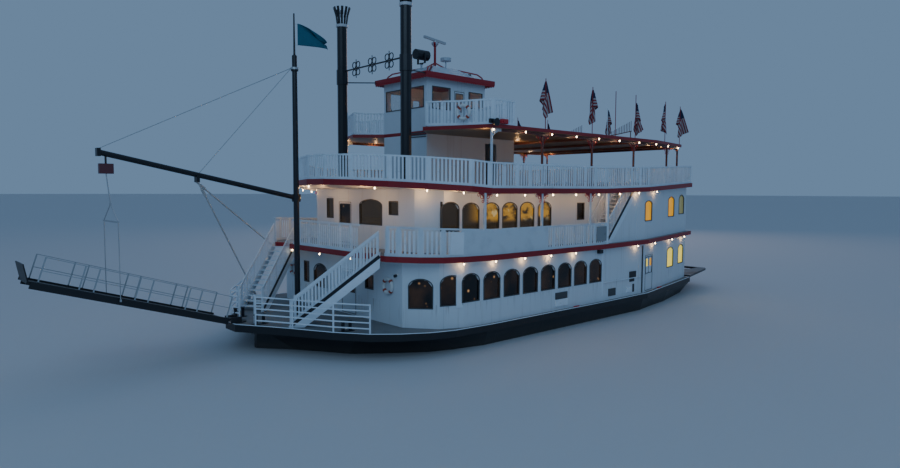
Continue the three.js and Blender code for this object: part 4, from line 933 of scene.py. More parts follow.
def hollow(piece, rim, depth):
    """Turn a flat face into a rim of that width and depth."""
    open_up(piece)
    bpy.ops.mesh.inset(thickness=rim, use_even_offset=True)
    bpy.ops.mesh.delete(type="FACE")
    bpy.ops.mesh.select_all(action="SELECT")
    bpy.ops.mesh.extrude_region_move(TRANSFORM_OT_translate={"value": (0, depth, 0)})
    bpy.ops.mesh.select_all(action="SELECT")
    bpy.ops.mesh.remove_doubles(threshold=0.002)
    bpy.ops.mesh.normals_make_consistent(inside=False)
    close_up()
    return piece


def arched_frame(width, sill, spring, crown):
    let_go()
    bpy.ops.mesh.primitive_circle_add(
        vertices=2 * ARCH_STEPS, radius=1, fill_type="NGON", location=(0, 0, spring),
        rotation=(math.pi / 2, 0, 0),
    )
    arch = bpy.context.active_object
    arch.scale = (width / 2 + RIM * LAP, max(crown - spring, 0.02) + RIM * LAP, 1)
    settle(arch)
    open_up(arch)
    bpy.ops.mesh.select_all(action="DESELECT")
    close_up()
    for vertex in arch.data.vertices:
        vertex.select = vertex.co.z < spring - 1e-4
    bpy.ops.object.mode_set(mode="EDIT")
    bpy.ops.transform.resize(value=(1, 1, 0), center_override=(0, 0, sill - RIM * LAP))
    close_up()
    return hollow(arch, RIM, RIM_DEPTH)


def flat_frame(width, sill, head, rim=RIM, depth=RIM_DEPTH):
    let_go()
    bpy.ops.mesh.primitive_plane_add(
        size=1, location=(0, 0, (sill + head) / 2), rotation=(math.pi / 2, 0, 0)
    )
    face = bpy.context.active_object
    face.scale = (width + 2 * rim * LAP, head - sill + 2 * rim * LAP, 1)
    return hollow(settle(face), rim, depth)


def opening_frame(width, sill, spring, crown):
    if crown > spring:
        return arched_frame(width, sill, spring, crown)
    return flat_frame(width, sill, crown)


print("arched frames have", 2 * ARCH_STEPS, "corners, flat ones 4")

# %% [markdown]
# Every opening is one row of a table: where it is, its width, and its sill, spring and crown above the
# deck. A flat head has its crown at its spring. The rows are the same as the walls' openings. Frames and
# panes of the sides are mirrored, those of the fronts aren't.

# %% Frame and glaze the windows
MAIN_WINDOW = (0.96, 1.03, 1.83, 2.15)
# Columns for the sides: x, width, sill, spring, crown
MAIN_SIDE = [(1.9, 0.96, 0.80, 1.65, 1.96), (0.9, 0.96, 0.93, 1.79, 2.11)]
MAIN_SIDE += [(x, *MAIN_WINDOW) for x in (0, -1.22, -2.44, -3.66, -4.88, -6.1, -7.32, -8.54)]
MAIN_STERN = [(-17.3, 1.15, 0.95, 1.85, 2.10), (-19.3, 1.0, 0.98, 1.85, 2.11)]
SECOND_SIDE = [(x, 0.96, 0.90, 1.80, 2.10) for x in (0, -1.18, -2.43, -3.63, -4.82, -6.08)]
SECOND_VENT = [(-8.93, 0.56, 1.19, 2.01, 2.01)]
SECOND_STERN = [(-13.48, 1.05, 0.95, 1.85, 2.01), (-17.29, 1.10, 0.97, 1.90, 2.10)]
SECOND_LAST = [(-19.24, 1.0, 1.02, 1.90, 2.14)]
PILOT_SIDE = [(-2.35, 1.10, 1.05, 2.05, 2.05), (-4.6, 0.90, 1.25, 2.00, 2.00)]
PILOT_HOUSE = [(-5.25, 1.65), (-1.45, 1.65)]
# Columns for the fronts: y, width, sill, spring, crown
MAIN_FRONT = [
    (2.475, 0.55, 1.31, 1.87, 1.87), (-1.455, 1.15, 0.95, 1.65, 2.01), (-2.715, 0.43, 1.07, 2.03, 2.03),
]
SECOND_FRONT = [
    (2.46, 0.62, 1.49, 2.04, 2.04), (0.75, 1.74, 1.0, 1.85, 2.11), (-2.65, 0.56, 1.2, 2.11, 2.11),
]
PILOT_FRONT = [(-0.83, 1.25, 1.10, 2.05, 2.05), (0.83, 1.20, 1.10, 2.05, 2.05)]


def placed(piece, place, out=0.0):
    """Move a piece to its frame on a wall, and out of the wall by that much."""
    piece.data.transform(place @ Matrix.Translation((0, -out, 0)))
    return piece


def frame_and_pane(place, width, sill, spring, crown):
    """A frame that laps the opening's edge and a pane a little larger than the opening."""
    ring = opening_frame(width, sill, spring, crown)
    pane = block((-width / 2 - 0.03, 0.045, sill - 0.03), (width / 2 + 0.03, 0.057, crown + 0.03), 0.003)
    return placed(ring, place, 0.018), placed(pane, place)


def glaze(name, places, glass, both_sides):
    made = [frame_and_pane(place, *row) for place, row in places]
    for kind, pieces, finish, slot in (
        ("frames", [ring for ring, _ in made], frame_grey, "black_paint"),
        ("panes", [pane for _, pane in made], glass, "window_glass"),
    ):
        joined = join(pieces)
        fit(mirror_pair(joined) if both_sides else joined, f"{name}_{kind}", finish)


frame_grey = enamel("frame_grey", colour(0.05, 0.055, 0.06), colour(0.12, 0.12, 0.12), 0.4)
for name, outline, deck, rows, glass in (
    ("main_side", MAIN_CABIN, MAIN_DECK, MAIN_SIDE, main_glass),
    ("main_stern", MAIN_CABIN, MAIN_DECK, MAIN_STERN, yellow_glass),
    ("second_side", SECOND_CABIN, SECOND_DECK, SECOND_SIDE, saloon_glass),
    ("second_vent", SECOND_CABIN, SECOND_DECK, SECOND_VENT, main_glass),
    ("second_stern", SECOND_CABIN, SECOND_DECK, SECOND_STERN, amber_glass),
    ("second_last", SECOND_CABIN, SECOND_DECK, SECOND_LAST, green_glass),
    ("pilot_side", PILOT_HOUSE, ROOF_DECK, PILOT_SIDE, pilot_glass),
):
    places = []
    for x, *row in rows:
        y, dx, dy = wall_at(outline, x)
        places.append((stand(x, y, deck + rise(x, deck + 1.2), -dx, -dy), row))
    glaze(name, places, glass, True)
for name, x, deck, rows, glass in (
    ("main_front", 2.4, MAIN_DECK, MAIN_FRONT, main_glass),
    ("second_front", 1.1, SECOND_DECK, SECOND_FRONT, saloon_glass),
    ("pilot_front", -1.45, ROOF_DECK, PILOT_FRONT, pilot_glass),
):
    lift = rise(x, deck + 1.2)
    glaze(name, [(stand(x, y, deck + lift, 0, 1), row) for y, *row in rows], glass, False)

# %% [markdown]
# A door's pane, seam and knob turn with the door, so they ride on the door's body. Every leaf has the
# same margin round its pane. The side doors have a white panel with two small lights in its place.

# %% Glaze the doors
# Columns: x, y of the opening's middle, the way the wall runs with the house on its left, the deck, the
# opening's width and head
side_y, side_dx, side_dy = wall_at(MAIN_CABIN, -13.7)
DOORS = [
    ("main_front_door", 2.4, 0.93, 0, 1, MAIN_DECK, 1.20, 2.04),
    ("second_front_door", 1.1, -1.335, 0, 1, SECOND_DECK, 1.15, 2.04),
    ("side_door_port", -13.7, side_y, -side_dx, -side_dy, MAIN_DECK, 1.24, 2.05),
    ("side_door_starboard", -13.7, -side_y, side_dx, -side_dy, MAIN_DECK, 1.24, 2.05),
    ("pilothouse_door_port", -3.5, 1.65, -1, 0, ROOF_DECK, 0.76, 2.02),
    ("pilothouse_door_starboard", -3.5, -1.65, 1, 0, ROOF_DECK, 0.76, 2.02),
]
LEAF_MARGIN = 0.148
for name, x, y, dx, dy, deck, width, head in DOORS:
    place = stand(x, y, deck + rise(x, deck + 1.2), dx, dy)
    half = width / 2 - LEAF_MARGIN
    rim = [placed(flat_frame(2 * half, 1.0, head - 0.168, 0.03, 0.02), place, 0.012)]
    pane = placed(block((-half - 0.02, 0.016, 0.98), (half + 0.02, 0.026, head - LEAF_MARGIN), 0.002), place)
    knob = placed(rod((-half - 0.06, -0.05, 0.98), (-half - 0.06, 0.02, 0.98), 0.025, 10), place)
    glass = pilot_glass if "pilot" in name else main_glass
    if name.startswith("side_door"):
        glass = rail_white
        for number, across, lit in ((1, -0.27, yellow_glass), (2, 0.27, amber_glass)):
            light = block((across - 0.1, -0.004, 1.38), (across + 0.1, 0.014, 1.78), 0.004)
            fit(placed(light, place), f"{name}_light_{number}", lit, name)
        rim.append(placed(block((-0.008, -0.002, 1.0), (0.008, 0.015, head - 0.17)), place))
    seam = placed(flat_frame(width - 0.14, 0.07, head - 0.07, 0.02, 0.012), place, 0.013)
    fit(join(rim), f"{name}_rim", frame_grey, name)
    fit(pane, f"{name}_pane", glass, name)
    fit(seam, f"{name}_seam", frame_grey, name)
    fit(knob, f"{name}_knob", bright_steel, name)

# %% [markdown]
# ## Lamps under the decks
# Bare bulbs hang in a row under the edge of each deck, about two paces apart. A bulb is a small ball
# drawn out at the top into its neck, in a short collar.

# %% Hang the lamps
def lamp_row(places):
    let_go()
    bpy.ops.mesh.primitive_uv_sphere_add(segments=12, ring_count=8, radius=0.046, location=(0, 0, -0.06))
    bulb = settle(bpy.context.active_object)
    for vertex in bulb.data.vertices:
        vertex.select = vertex.co.z > -0.03
    bpy.ops.object.mode_set(mode="EDIT")
    bpy.ops.transform.resize(value=(0.6, 0.6, 1.0), center_override=(0, 0, -0.03))
    bpy.ops.object.mode_set(mode="OBJECT")
    collar = rod((0, 0, -0.001), (0, 0, -0.03), 0.045, 12, 0.034)
    spots = [Matrix.Translation(place) for place in places]
    return copies(bulb, spots), copies(collar, spots)


def both(places):
    return places + [(x, -y, z) for x, y, z in places]


def under(x, y, deck):
    ceiling = deck - DECK_DEPTH
    return (x, y, ceiling + rise(x, ceiling))


def hung_at(places, deck, edge):
    """Places of bulbs in the photograph, kept 6 cm inside the edge that they hang under."""
    held = []
    for x, y in places:
        inner = wall_at(edge, x)[0] - 0.06 if edge[0][0] < x < edge[-1][0] else y
        held.append(under(x - (0.1 if x > 3.0 else 0), min(y, inner), deck))
    return held


third_lamps = hung_at([
    (2.56, 3.28), (1.3, 5.06), (0.22, 6.07), (-1.29, 6.44), (-3.03, 6.44), (-4.93, 6.44),
    (-6.62, 6.44), (-8.45, 6.44), (-10.26, 6.44), (-12.02, 6.44), (-14.25, 6.19),
], THIRD_DECK, THIRD_EDGE)
second_lamps = hung_at([
    (0.56, 6.44), (-1.26, 6.44), (-3.08, 6.44), (-4.85, 6.44), (-6.69, 6.44),
    (-12.04, 6.44), (-14.14, 6.21), (-17.06, 5.61), (-19.38, 5.14),
], SECOND_DECK, SECOND_EDGE)
roof_lamps = [(x, y - 0.1, ROOF_DECK - 0.161) for x, y in (
    (-1.65, 5.86), (-3.59, 5.95), (-5.4, 5.95), (-7.23, 5.95), (-9.06, 5.95), (-10.85, 5.95),
    (-12.71, 5.95), (-14.42, 5.95), (-16.4, 5.55), (-18.2, 5.2),
)]
front_lamps = {
    "third": [under(3.42, -0.67, THIRD_DECK)], "roof": [],
    "second": [under(3.1, y, SECOND_DECK) for y in (-2.82, -0.35, 2.12)],
}
for kind, rows in (("third", third_lamps), ("second", second_lamps), ("roof", roof_lamps)):
    bulbs, collars = lamp_row(both(rows) + front_lamps[kind])
    fit(bulbs, f"{kind}_deck_bulbs", bulb_glow)
    fit(collars, f"{kind}_deck_lamp_collars", bright_steel)

# %% [markdown]
# The bulbs are too small to light a wall well by themselves, so a soft point of light hangs by each one
# on the side of the house. It makes the warm pools under the red boards and a glow below each ceiling.

# %% Light the walls, the ceilings and the cabins
WARM = (1.0, 0.55, 0.22)


def glow(places, power, size=0.06, tint=WARM):
    for place in places:
        lamp = bpy.data.lights.new("glow", "POINT")
        lamp.energy = power
        lamp.color = tint
        lamp.shadow_soft_size = size
        hung = bpy.data.objects.new("glow", lamp)
        hung.location = place
        bpy.context.scene.collection.objects.link(hung)


def beside_bulbs(rows, inward, drop):
    return both([(x, y - inward, z - drop) for x, y, z in rows])


glow(beside_bulbs([row for row in second_lamps if row[0] < 1.0], 0.06, 0.16), 2.6)
glow(beside_bulbs([row for row in third_lamps if -12.0 < row[0] < 3.0], 0.55, 0.22), 9)
glow(beside_bulbs([row for row in third_lamps if row[0] < -12.0], 0.06, 0.16), 2.6)
glow(beside_bulbs(roof_lamps, 0.5, 0.22), 8)
glow([(x, 0, 7.0) for x in (-1.0, -4.0, -7.5, -15.0)], 30, 0.3)
glow([(x, 0, 4.2) for x in (-1.5, -5.0, -8.5, -17.5)], 9, 0.3)
glow([(1.9, 0.9, 4.4), (1.9, -1.6, 4.4), (2.2, 1.6, 7.2), (2.2, -1.6, 7.2)], 16)
glow([(-7.9, 1.5, 9.9), (-3.2, 0.2, 12.5)], 10)
print("lights:", len(bpy.data.lights))

# %% [markdown]
# ## The main deck's edge
# A pale half-round runs along the top of the black guard. It follows the deck's rise, so its line has a
# corner wherever the rise changes.

# %% Run the moulding round the deck
def deck_line(outline, level, lift):
    points = []
    for a, b in zip(outline, outline[1:] + outline[:1]):
        low, high = sorted((a[0], b[0]))
        turns = [(row[0] - a[0]) / (b[0] - a[0]) for row in RISE if low < row[0] < high]
        for t in [0.0] + sorted(turns):
            x = a[0] + (b[0] - a[0]) * t
            points.append((x, a[1] + (b[1] - a[1]) * t, level + lift + rise(x, level)))
    return points


moulding_line = deck_line(inset(whole(MAIN_EDGE), 0.024), MAIN_DECK, 0.004)
fit(pipe(moulding_line, 0.022, 8, closed=True), "deck_moulding", rail_white)

# %% [markdown]
# ## Stairs
# A black strip runs down each stringer just under the pickets, a white board hangs below it, a
# round handrail caps the pickets, and a post stands at the foot. The black line is what makes the
# flights stand out in the photograph. The boards are cut upright at the head and level at the foot.

# %% Edge the stairs
def stringer(head, foot, width, outward):
    """Gives a function for points on one side of a flight: along it, above it and out of its face."""
    length, dx, dy, low, high = flight_frame(head, foot)
    across = width if outward > 0 else 0.0

    def point(s, lift, out=0.0):
        shift = across + outward * out
        x, y = head[0] + dx * s + dy * shift, head[1] + dy * s - dx * shift
        return (x, y, high - (high - low) * s / length + lift)

    return point


for name, (head, foot, width) in FLIGHTS.items():
    length, dx, dy, low, high = flight_frame(head, foot)
    edges, caps, boards, posts = [], [], [], []
    for outward in (-1, 1):
        at = stringer(head, foot, width, outward)
        edges.append(beam(at(0.02, 0.0, 0.006), at(length - 0.1, 0.0, 0.006), 0.016, 0.13))
        board = beam(at(-0.3, -0.245, 0.003), at(length + 0.5, -0.245, 0.003), 0.010, 0.36)
        cut_off(board, at(0.02, 0), (-dx, -dy, 0))
        cut_off(board, at(0, low - high + 0.004), (0, 0, -1))
        boards.append(board)
        caps.append(pipe([at(0.06, 0.95, -0.025), at(length - 0.06, 0.95, -0.025)], 0.028, 8))
        x, y, z = at(length - 0.09, 0.0, -0.025)
        posts.append(block((x - 0.04, y - 0.04, low + 0.001), (x + 0.04, y + 0.04, z + 1.02), 0.008))
    fit_pair(edges, f"{name}_stair_edges", black_iron)
    for kind, pieces in (("caps", caps), ("boards", boards), ("posts", posts)):
        fit_pair(pieces, f"{name}_stair_{kind}", rail_white)

# %% [markdown]
# ## What hangs on the walls
# A life ring is a torus with four bands, seated on the wall behind it. One hangs on each side of the
# main cabin's front and one on the port wing.

# %% Life rings
buoy_white = enamel("buoy_white", colour(0.60, 0.62, 0.62), colour(0.40, 0.38, 0.35), 0.5)
buoy_band = enamel("buoy_band", colour(0.32, 0.05, 0.03), colour(0.2, 0.06, 0.05), 0.5)
RING_RADIUS = 0.28


def life_ring(name, place, facing):
    """A ring whose flat side lies on the wall at place; facing is the wall's outward direction."""
    let_go()
    bpy.ops.mesh.primitive_torus_add(
        major_radius=RING_RADIUS, minor_radius=0.075, major_segments=36, minor_segments=10,
        rotation=(math.pi / 2, 0, 0),
    )
    ring = settle(bpy.context.active_object)
    bands = []
    for k in range(4):
        turn = math.pi / 4 + k * math.pi / 2
        along = Vector((math.cos(turn), 0, math.sin(turn)))
        across = Vector((-along.z, 0, along.x))
        middle = along * RING_RADIUS
        bands.append(rod(middle - across * 0.045, middle + across * 0.045, 0.081, 14))
    outward = Vector(facing).normalized()
    turned = stand(*place, outward.y, -outward.x) @ Matrix.Translation((0, 0.077, 0))
    for piece in (ring, *bands):
        piece.data.transform(turned)
    fit(ring, name, buoy_white)
    fit(join(bands), f"{name}_bands", buoy_band)


life_ring("bow_life_ring", (2.4, 3.87, 3.66), (1, 0, 0))
life_ring("wing_life_ring", (-1.02, 4.62, 10.83), (0.926, 0.377, 0))
life_ring("starboard_life_ring", (2.4, -3.87, 3.66), (1, 0, 0))

# %% [markdown]
# The eave's fringe is a row of half-round scallops, pinched from one disc. It hangs from the eave's
# lower edge on all four sides.

# %% Hang the fringe
EAVE_BACK, EAVE_FRONT, EAVE_HALF, EAVE_LOW = -5.62, -1.13, 1.99, 12.75
FRINGE_INSET = 0.02


def scallop():
    let_go()
    bpy.ops.mesh.primitive_cylinder_add(vertices=16, radius=0.055, depth=0.012, rotation=(math.pi / 2, 0, 0))
    half = settle(bpy.context.active_object)
    cut_off(half, (0, 0, 0), (0, 0, 1))
    open_up(half)
    bpy.ops.transform.resize(value=(1, 1, 1.7), center_override=(0, 0, 0))
    close_up()
    return half


back, front, half = EAVE_BACK + FRINGE_INSET, EAVE_FRONT - FRINGE_INSET, EAVE_HALF - FRINGE_INSET
eave_line = [(EAVE_BACK, half), (front, half), (front, -half), (back, -half), (back, half)]
fringe_places = [stand(x, y, EAVE_LOW, dx, dy) for x, y, dx, dy in spaced(eave_line, 0.118)]
fit(copies(scallop(), fringe_places), "eave_fringe", red_trim)

# %% [markdown]
# A loudspeaker and a red side light look outwards from the end of the port wing, and a green side light
# from the starboard one. Three louvres are set in the house's front and a lamp under its eave. Each is
# a block or a rod that is seated on what is behind it.

# %% Set the loudspeaker and the side lights
lamp_red = enamel("lamp_red", colour(0.45, 0.012, 0.02), colour(0.3, 0.02, 0.02), 0.25)
lamp_green = enamel("lamp_green", colour(0.01, 0.25, 0.08), colour(0.01, 0.15, 0.05), 0.25)
horn = rod((-1.45, 5.90, 10.36), (-1.45, 6.16, 10.34), 0.07, 16, 0.17)
horn_box = block((-1.6, 5.80, 10.32), (-1.3, 5.93, 10.5), 0.01)
fit(join([horn, horn_box]), "loudspeaker", black_iron)
red_box = block((-2.3, 5.86, 10.32), (-1.9, 6.02, 10.52), 0.02)
red_lens = rod((-2.0, 6.0, 10.42), (-2.0, 6.05, 10.42), 0.05, 14)
fit(join([red_box, red_lens]), "port_side_light", lamp_red)
green_box = block((-2.3, -6.02, 10.32), (-1.9, -5.86, 10.52), 0.02)
fit(green_box, "starboard_side_light", lamp_green)
louvres = [block((-1.452, 0.55, z), (-1.42, 1.62, z + 0.045)) for z in (10.0, 10.09, 10.18)]
fit(join(louvres), "front_louvres", frame_grey)
shade = rod((-1.43, 0.1, 12.66), (-1.25, 0.1, 12.60), 0.04, 12, 0.075)
bracket = block((-1.46, 0.03, 12.6), (-1.42, 0.17, 12.72))
fit(join([shade, bracket]), "eave_lamp", black_iron)

# %% [markdown]
# Every post has fretwork in the two corners under its beam: a large ring with two small ones.

# %% Set the fretwork
ROOF_POSTS = ((-4.95, 5.65), (-8.75, 5.65), (-12.5, 5.65), (-16.3, 5.43))


def fret(radius, thick):
    let_go()
    bpy.ops.mesh.primitive_torus_add(
        major_radius=radius, minor_radius=thick, major_segments=14, minor_segments=5,
        rotation=(math.pi / 2, 0, 0),
    )
    return settle(bpy.context.active_object)


corners = [(x, 6.3, THIRD_DECK - DECK_DEPTH + rise(x, THIRD_DECK)) for x in SIDE_POSTS]
corners += [(x, y, ROOF_DECK - 0.28) for x, y in ROOF_POSTS]
large, small = [], []
for x, y, z in both(corners):
    for side in (-1, 1):
        large.append(Matrix.Translation((x + side * 0.17, y, z - 0.14)))
        small.append(Matrix.Translation((x + side * 0.36, y, z - 0.075)))
        small.append(Matrix.Translation((x + side * 0.12, y, z - 0.34)))
frets = join([copies(fret(0.095, 0.016), large), copies(fret(0.055, 0.014), small)])
fit(frets, "post_fretwork", red_trim)

# %% [markdown]
# Down the main cabin's side there is a handrail, a rain pipe at the door, two square vents, an inlet with
# its grille and a loudspeaker under the deck. All of them are shallow boxes on the wall or bars off it.

# %% Fit out the cabin's side
def on_main_wall(x):
    return wall_at(MAIN_CABIN, x)[0]


def wall_boxes(rows):
    """Columns: after and forward end, lower and upper edge above the waterline, how far it stands out."""
    boxes = []
    for x0, x1, z0, z1, out in rows:
        y = on_main_wall((x0 + x1) / 2)
        boxes.append(block((x0, y - 0.01, z0 + WATERLINE), (x1, y + out, z1 + WATERLINE), 0.008))
    return boxes


dark = wall_boxes([
    (-12.15, -11.55, 1.92, 2.24, 0.05), (-12.0, -11.58, 1.70, 1.86, 0.04),
    (-12.02, -11.88, 1.14, 1.56, 0.03), (-8.95, -8.65, 3.38, 3.56, 0.16),
])
rain_pipe = (-12.76, on_main_wall(-12.76) + 0.035)
dark.append(rod((*rain_pipe, 2.06), (*rain_pipe, 4.6), 0.03, 10))
fit_pair(dark, "side_vents", black_iron)
grey = wall_boxes([(-10.3, -9.66, 1.14, 1.52, 0.03), (-6.28, -5.42, 1.45, 1.76, 0.05)])
fit_pair(grey, "side_grilles", frame_grey)
pale = wall_boxes([
    (-6.28, -5.42, 1.12, 1.44, 0.07), (-11.7, -11.3, 1.16, 1.42, 0.05), (-9.16, -9.10, 1.2, 3.6, 0.02),
])
rail_y, rail_z = on_main_wall(-11) + 0.07, 2.94
pale.append(pipe([(-12.6, rail_y, rail_z), (-9.15, rail_y, rail_z)], 0.022, 8))
for x in (-12.5, -11.4, -10.3, -9.25):
    pale.append(rod((x, rail_y, rail_z), (x, rail_y - 0.08, rail_z), 0.014, 8))
fit_pair(pale, "side_handrail", rail_white)

# %% [markdown]
# The guard has red chocks, and a lamp lights each side of the bow. A white strip covers the forward
# corner of the cabin between two windows, and the banner board goes on round the bend of the rail. A
# tall post and a grille end the rail beside the after stair.

# %% Trim the guard, the bow and the rail
banner_end = beam((0.60, 6.355, 5.44), (1.20, 6.235, 5.46), 0.03, 0.88)
fit(banner_end, "banner_end", rail_white)
chocks = []
for x, y in ((-6.85, 6.30), (-15.1, 5.87)):
    z = MAIN_DECK + rise(x, MAIN_DECK)
    chocks.append(block((x - 0.2, y - 0.04, z), (x + 0.2, y + 0.03, z + 0.07), 0.01))
fit_pair(chocks, "guard_chocks", red_trim)
bow_lamp = rod((2.40, 4.34, 4.12), (2.50, 4.34, 4.10), 0.06, 12)
fit_pair([bow_lamp], "bow_wall_lamps", black_iron)
strip = beam((0.45, 6.125, 3.53), (0.71, 6.037, 3.53), 0.06, 1.36)
fit_pair([strip], "corner_strips", rail_white)
tall_post = block((-9.29, 6.24, SECOND_DECK + 0.001), (-9.15, 6.36, THIRD_DECK - DECK_DEPTH - 0.001), 0.01)
fit_pair([tall_post], "stair_posts", rail_white)
grille_grey = enamel("grille_grey", colour(0.22, 0.25, 0.27), colour(0.15, 0.15, 0.15), 0.5)
grille = [block((-9.1, 6.345, SECOND_DECK + 0.18), (-8.3, 6.365, SECOND_DECK + 0.9), 0.005)]
for z in (0.28, 0.38, 0.48, 0.58, 0.68, 0.78):
    grille.append(block((-9.02, 6.36, SECOND_DECK + z), (-8.38, 6.372, SECOND_DECK + z + 0.03)))
fit_pair(grille, "rail_grilles", grille_grey)

# %% [markdown]
# On the roof a dark handrail climbs towards the stern, with pickets on its after part that grow as it
# climbs. A low box stands to port, and a vent on the pilothouse's crown. Bollards stand in pairs on the
# main deck, two pairs at the bow and one aft on each side.

# %% Furnish the roof and the main deck
ROOF_RAIL_Y = 1.9
climb = [(-13.2, 10.62), (-14.8, 10.72), (-16.4, 10.95), (-18.2, 11.28)]
roof_rail = [pipe([(x, ROOF_RAIL_Y, z) for x, z in climb], 0.03, 8)]
for x, z in ((-13.3, 10.62), (-15.6, 10.83), (-18.1, 11.26)):
    roof_rail.append(rod((x, ROOF_RAIL_Y, 10.28), (x, ROOF_RAIL_Y, z), 0.03, 8))
for k in range(14):
    x, foot = -15.8 - k * 0.18, 10.86 + k * 0.18 * 0.18
    top = foot + 0.18 + 0.035 * k
    roof_rail.append(rod((x, ROOF_RAIL_Y, foot), (x, ROOF_RAIL_Y, top), 0.018, 6))
fit_pair(roof_rail, "roof_handrails", canopy_frame)
fit(block((-12.4, 3.2, 10.298), (-11.5, 3.8, 10.62), 0.02), "roof_box", frame_grey)
fit(rod((-4.9, 0.9, 12.95), (-4.9, 0.9, 13.35), 0.09, 14), "crown_vent", frame_grey)
bollards = []
for x, y in ((4.6, 4.1), (6.6, 0.95), (-17.5, 4.95)):
    z = MAIN_DECK + rise(x, MAIN_DECK)
    for dx in (-0.16, 0.16):
        bollards.append(rod((x + dx, y, z), (x + dx, y, z + 0.36), 0.065, 14))
        bollards.append(rod((x + dx, y, z + 0.36), (x + dx, y, z + 0.40), 0.085, 14))
    bollards.append(block((x - 0.3, y - 0.12, z), (x + 0.3, y + 0.12, z + 0.03)))
fit_pair(bollards, "bollards", black_iron)

# %% [markdown]
# ## Flags
# Each small flag is a sheet of real size, tied along its staff, and falls under its own weight in a
# cloth simulation. Three simulations with different air make enough kinds; the staffs share copies.

# %% Let a flag fall
# The size is close to the common flag of 5 by 3 feet: its length away from the staff, and its height
FLY, HOIST = 1.50, 0.91


def fallen_flag(name, breeze, wave, frames, fly=FLY, hoist=HOIST):
    """A sheet pinned along x = 0 whose top corner is the origin; it streams towards -x."""
    let_go()
    bpy.ops.mesh.primitive_grid_add(
        x_subdivisions=24, y_subdivisions=15, size=1, location=(-fly / 2, 0, -hoist / 2),
        rotation=(math.pi / 2, 0, 0),
    )
    sheet = bpy.context.active_object
    sheet.name = name
    sheet.scale = (fly, hoist, 1)
    settle(sheet)
    for vertex in sheet.data.vertices:
        x, _, z = vertex.co
        vertex.co.y = 0.05 * x * math.sin(wave * x + 3 * z + wave)
    pinned = sheet.vertex_groups.new(name="hoist")
    pinned.add([v.index for v in sheet.data.vertices if v.co.x > -1e-3], 1.0, "REPLACE")
    wind = None
    if breeze:
        let_go()
        bpy.ops.object.effector_add(type="WIND", location=(3, 0, 0), rotation=(0, -math.pi / 2, 0))
        wind = bpy.context.active_object
        wind.field.strength = breeze
        wind.field.noise = 0.0
    hang = sheet.modifiers.new("hang", "CLOTH")
    cloth = hang.settings
    cloth.quality = 7
    cloth.mass = 0.12
    cloth.tension_stiffness = cloth.compression_stiffness = 12
    cloth.shear_stiffness = 4
    cloth.bending_stiffness = 0.02
    cloth.air_damping = 2.0
    cloth.vertex_group_mass = "hoist"
    hang.collision_settings.use_self_collision = False
    hang.point_cache.frame_start = 1
    hang.point_cache.frame_end = frames
    for number in range(1, frames + 1):
        bpy.context.scene.frame_set(number)
    take(sheet)
    bpy.ops.object.modifier_apply(modifier="hang")
    if wind:
        bpy.data.objects.remove(wind)
    bpy.context.scene.frame_set(1)
    skin = sheet.modifiers.new("skin", "SOLIDIFY")
    skin.thickness = 0.003
    take(sheet)
    bpy.ops.object.modifier_apply(modifier="skin")
    bpy.ops.object.shade_smooth()
    drop = min(v.co.z for v in sheet.data.vertices)
    reach = min(v.co.x for v in sheet.data.vertices)
    print(name, "drops", round(-drop, 2), "and reaches", round(-reach, 2))
    return sheet


KINDS = {
    "limp": fallen_flag("limp_flag", 0, 5, 60),
    "slack": fallen_flag("slack_flag", 60, 7, 60),
    "blown": fallen_flag("blown_flag", 420, 4, 40),
}

# %% [markdown]
# The flags hang from the roof deck's staffs and from one at the stern. Each takes a copy of a fallen
# flag, turned about its own staff, so that no two look alike.

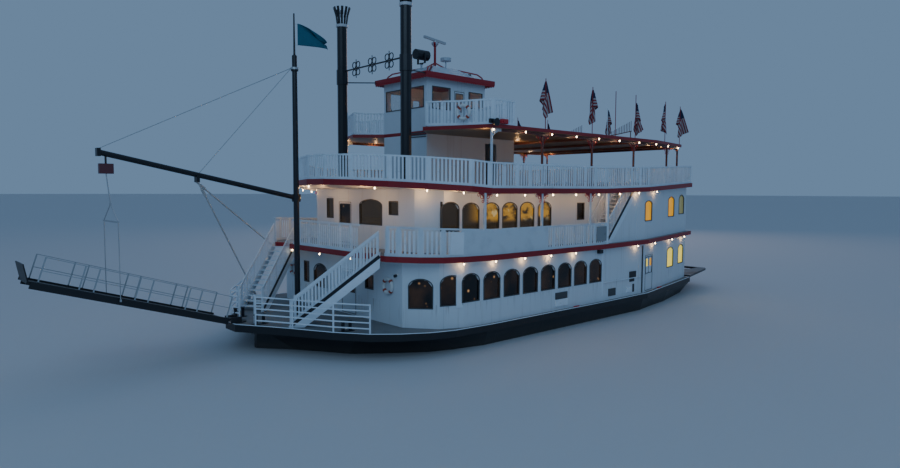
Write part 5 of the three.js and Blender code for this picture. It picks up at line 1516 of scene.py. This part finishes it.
# %% Hang the flags
# Columns: staff x, y, the flag's top, its kind, and how far it is turned about the staff
FLAGS = [
    (-4.92, 5.84, 12.50, "limp", 15), (-8.48, 5.84, 12.50, "slack", 40), (-12.31, 5.84, 12.18, "slack", -20),
    (-15.79, 5.58, 12.46, "limp", 60), (-18.40, 5.06, 12.44, "limp", -35), (-18.35, 0.0, 12.85, "slack", 10),
    (-4.92, -5.84, 12.50, "slack", -30), (-8.48, -5.84, 12.50, "limp", 20), (-12.31, -5.84, 12.3, "limp", 70),
    (-15.79, -5.58, 12.40, "blown", -8), (-18.40, -5.06, 12.35, "blown", 6),
]
stern_staff = rod((-18.35, 0, 10.28), (-18.35, 0, 12.95), 0.02, 8)
fit(stern_staff, "stern_staff", rail_white)
for number, (x, y, z, kind, turn) in enumerate(FLAGS, 1):
    flag = KINDS[kind].copy()
    flag.data = KINDS[kind].data.copy()
    bpy.context.scene.collection.objects.link(flag)
    swing = Matrix.Rotation(math.radians(turn), 4, "Z") @ Matrix.Translation((-0.022, 0, 0))
    flag.data.transform(Matrix.Translation((x, y, z)) @ swing)
    fit(flag, f"small_flag_{number:02d}", flag_stripes)
    "stern_staff" if y == 0 else "roof_deck"
for kind in KINDS.values():
    bpy.data.objects.remove(kind)

# %% [markdown]
# The flag at the masthead streams aft. It is simulated in the same way with much more air, and takes the
# place of the plain plate. Two lashings hold it to the pole.

# %% Stream the masthead flag
MAST_FLY, MAST_HOIST = 1.44, 0.89
MAST_X = 4.4
FLAG_TURN = math.radians(20)
big = fallen_flag("masthead_flag", 1700, 3, 34, MAST_FLY, MAST_HOIST)
swing = Matrix.Rotation(-FLAG_TURN, 4, "Z") @ Matrix.Translation((-0.14, 0, 0))
big.data.transform(Matrix.Translation((MAST_X, 0, 14.46)) @ swing)
fit(big, "masthead_flag", teal_cloth)
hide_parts("mast_flag")
lashed_to = (MAST_X - 0.15 * math.cos(FLAG_TURN), 0.15 * math.sin(FLAG_TURN))
lashings = join([rod((MAST_X, 0, z), (*lashed_to, z - 0.01), 0.006, 6) for z in (14.44, 13.58)])
fit(lashings, "flag_lashings", bright_steel)

# %% [markdown]
# ## Vangs
# Two tackles steady the boom from the starboard side. Each is a rope with a block near both ends. It
# is made of short lengths that are joined into one piece, which no body carries.

# %% Rig the vangs
tackle_rope = plain_cloth("tackle_rope", colour(0.74, 0.74, 0.72))
LENGTHS = 12
for name, low_end, high_end in (
    ("bow_vang", (3.75, -5.28, 2.18), (8.52, -0.12, 7.86)),
    ("deck_vang", (3.2, -4.66, 4.80), (8.62, -0.12, 7.86)),
):
    a, b = Vector(low_end), Vector(high_end)
    parts = [rod(a.lerp(b, k / LENGTHS), a.lerp(b, (k + 1) / LENGTHS), 0.034, 8) for k in range(LENGTHS)]
    parts += [rod(a.lerp(b, t), a.lerp(b, t + 0.045), 0.06, 10) for t in (0.03, 0.90)]
    vang = fit(join(parts), name, tackle_rope, None)
    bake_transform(vang)
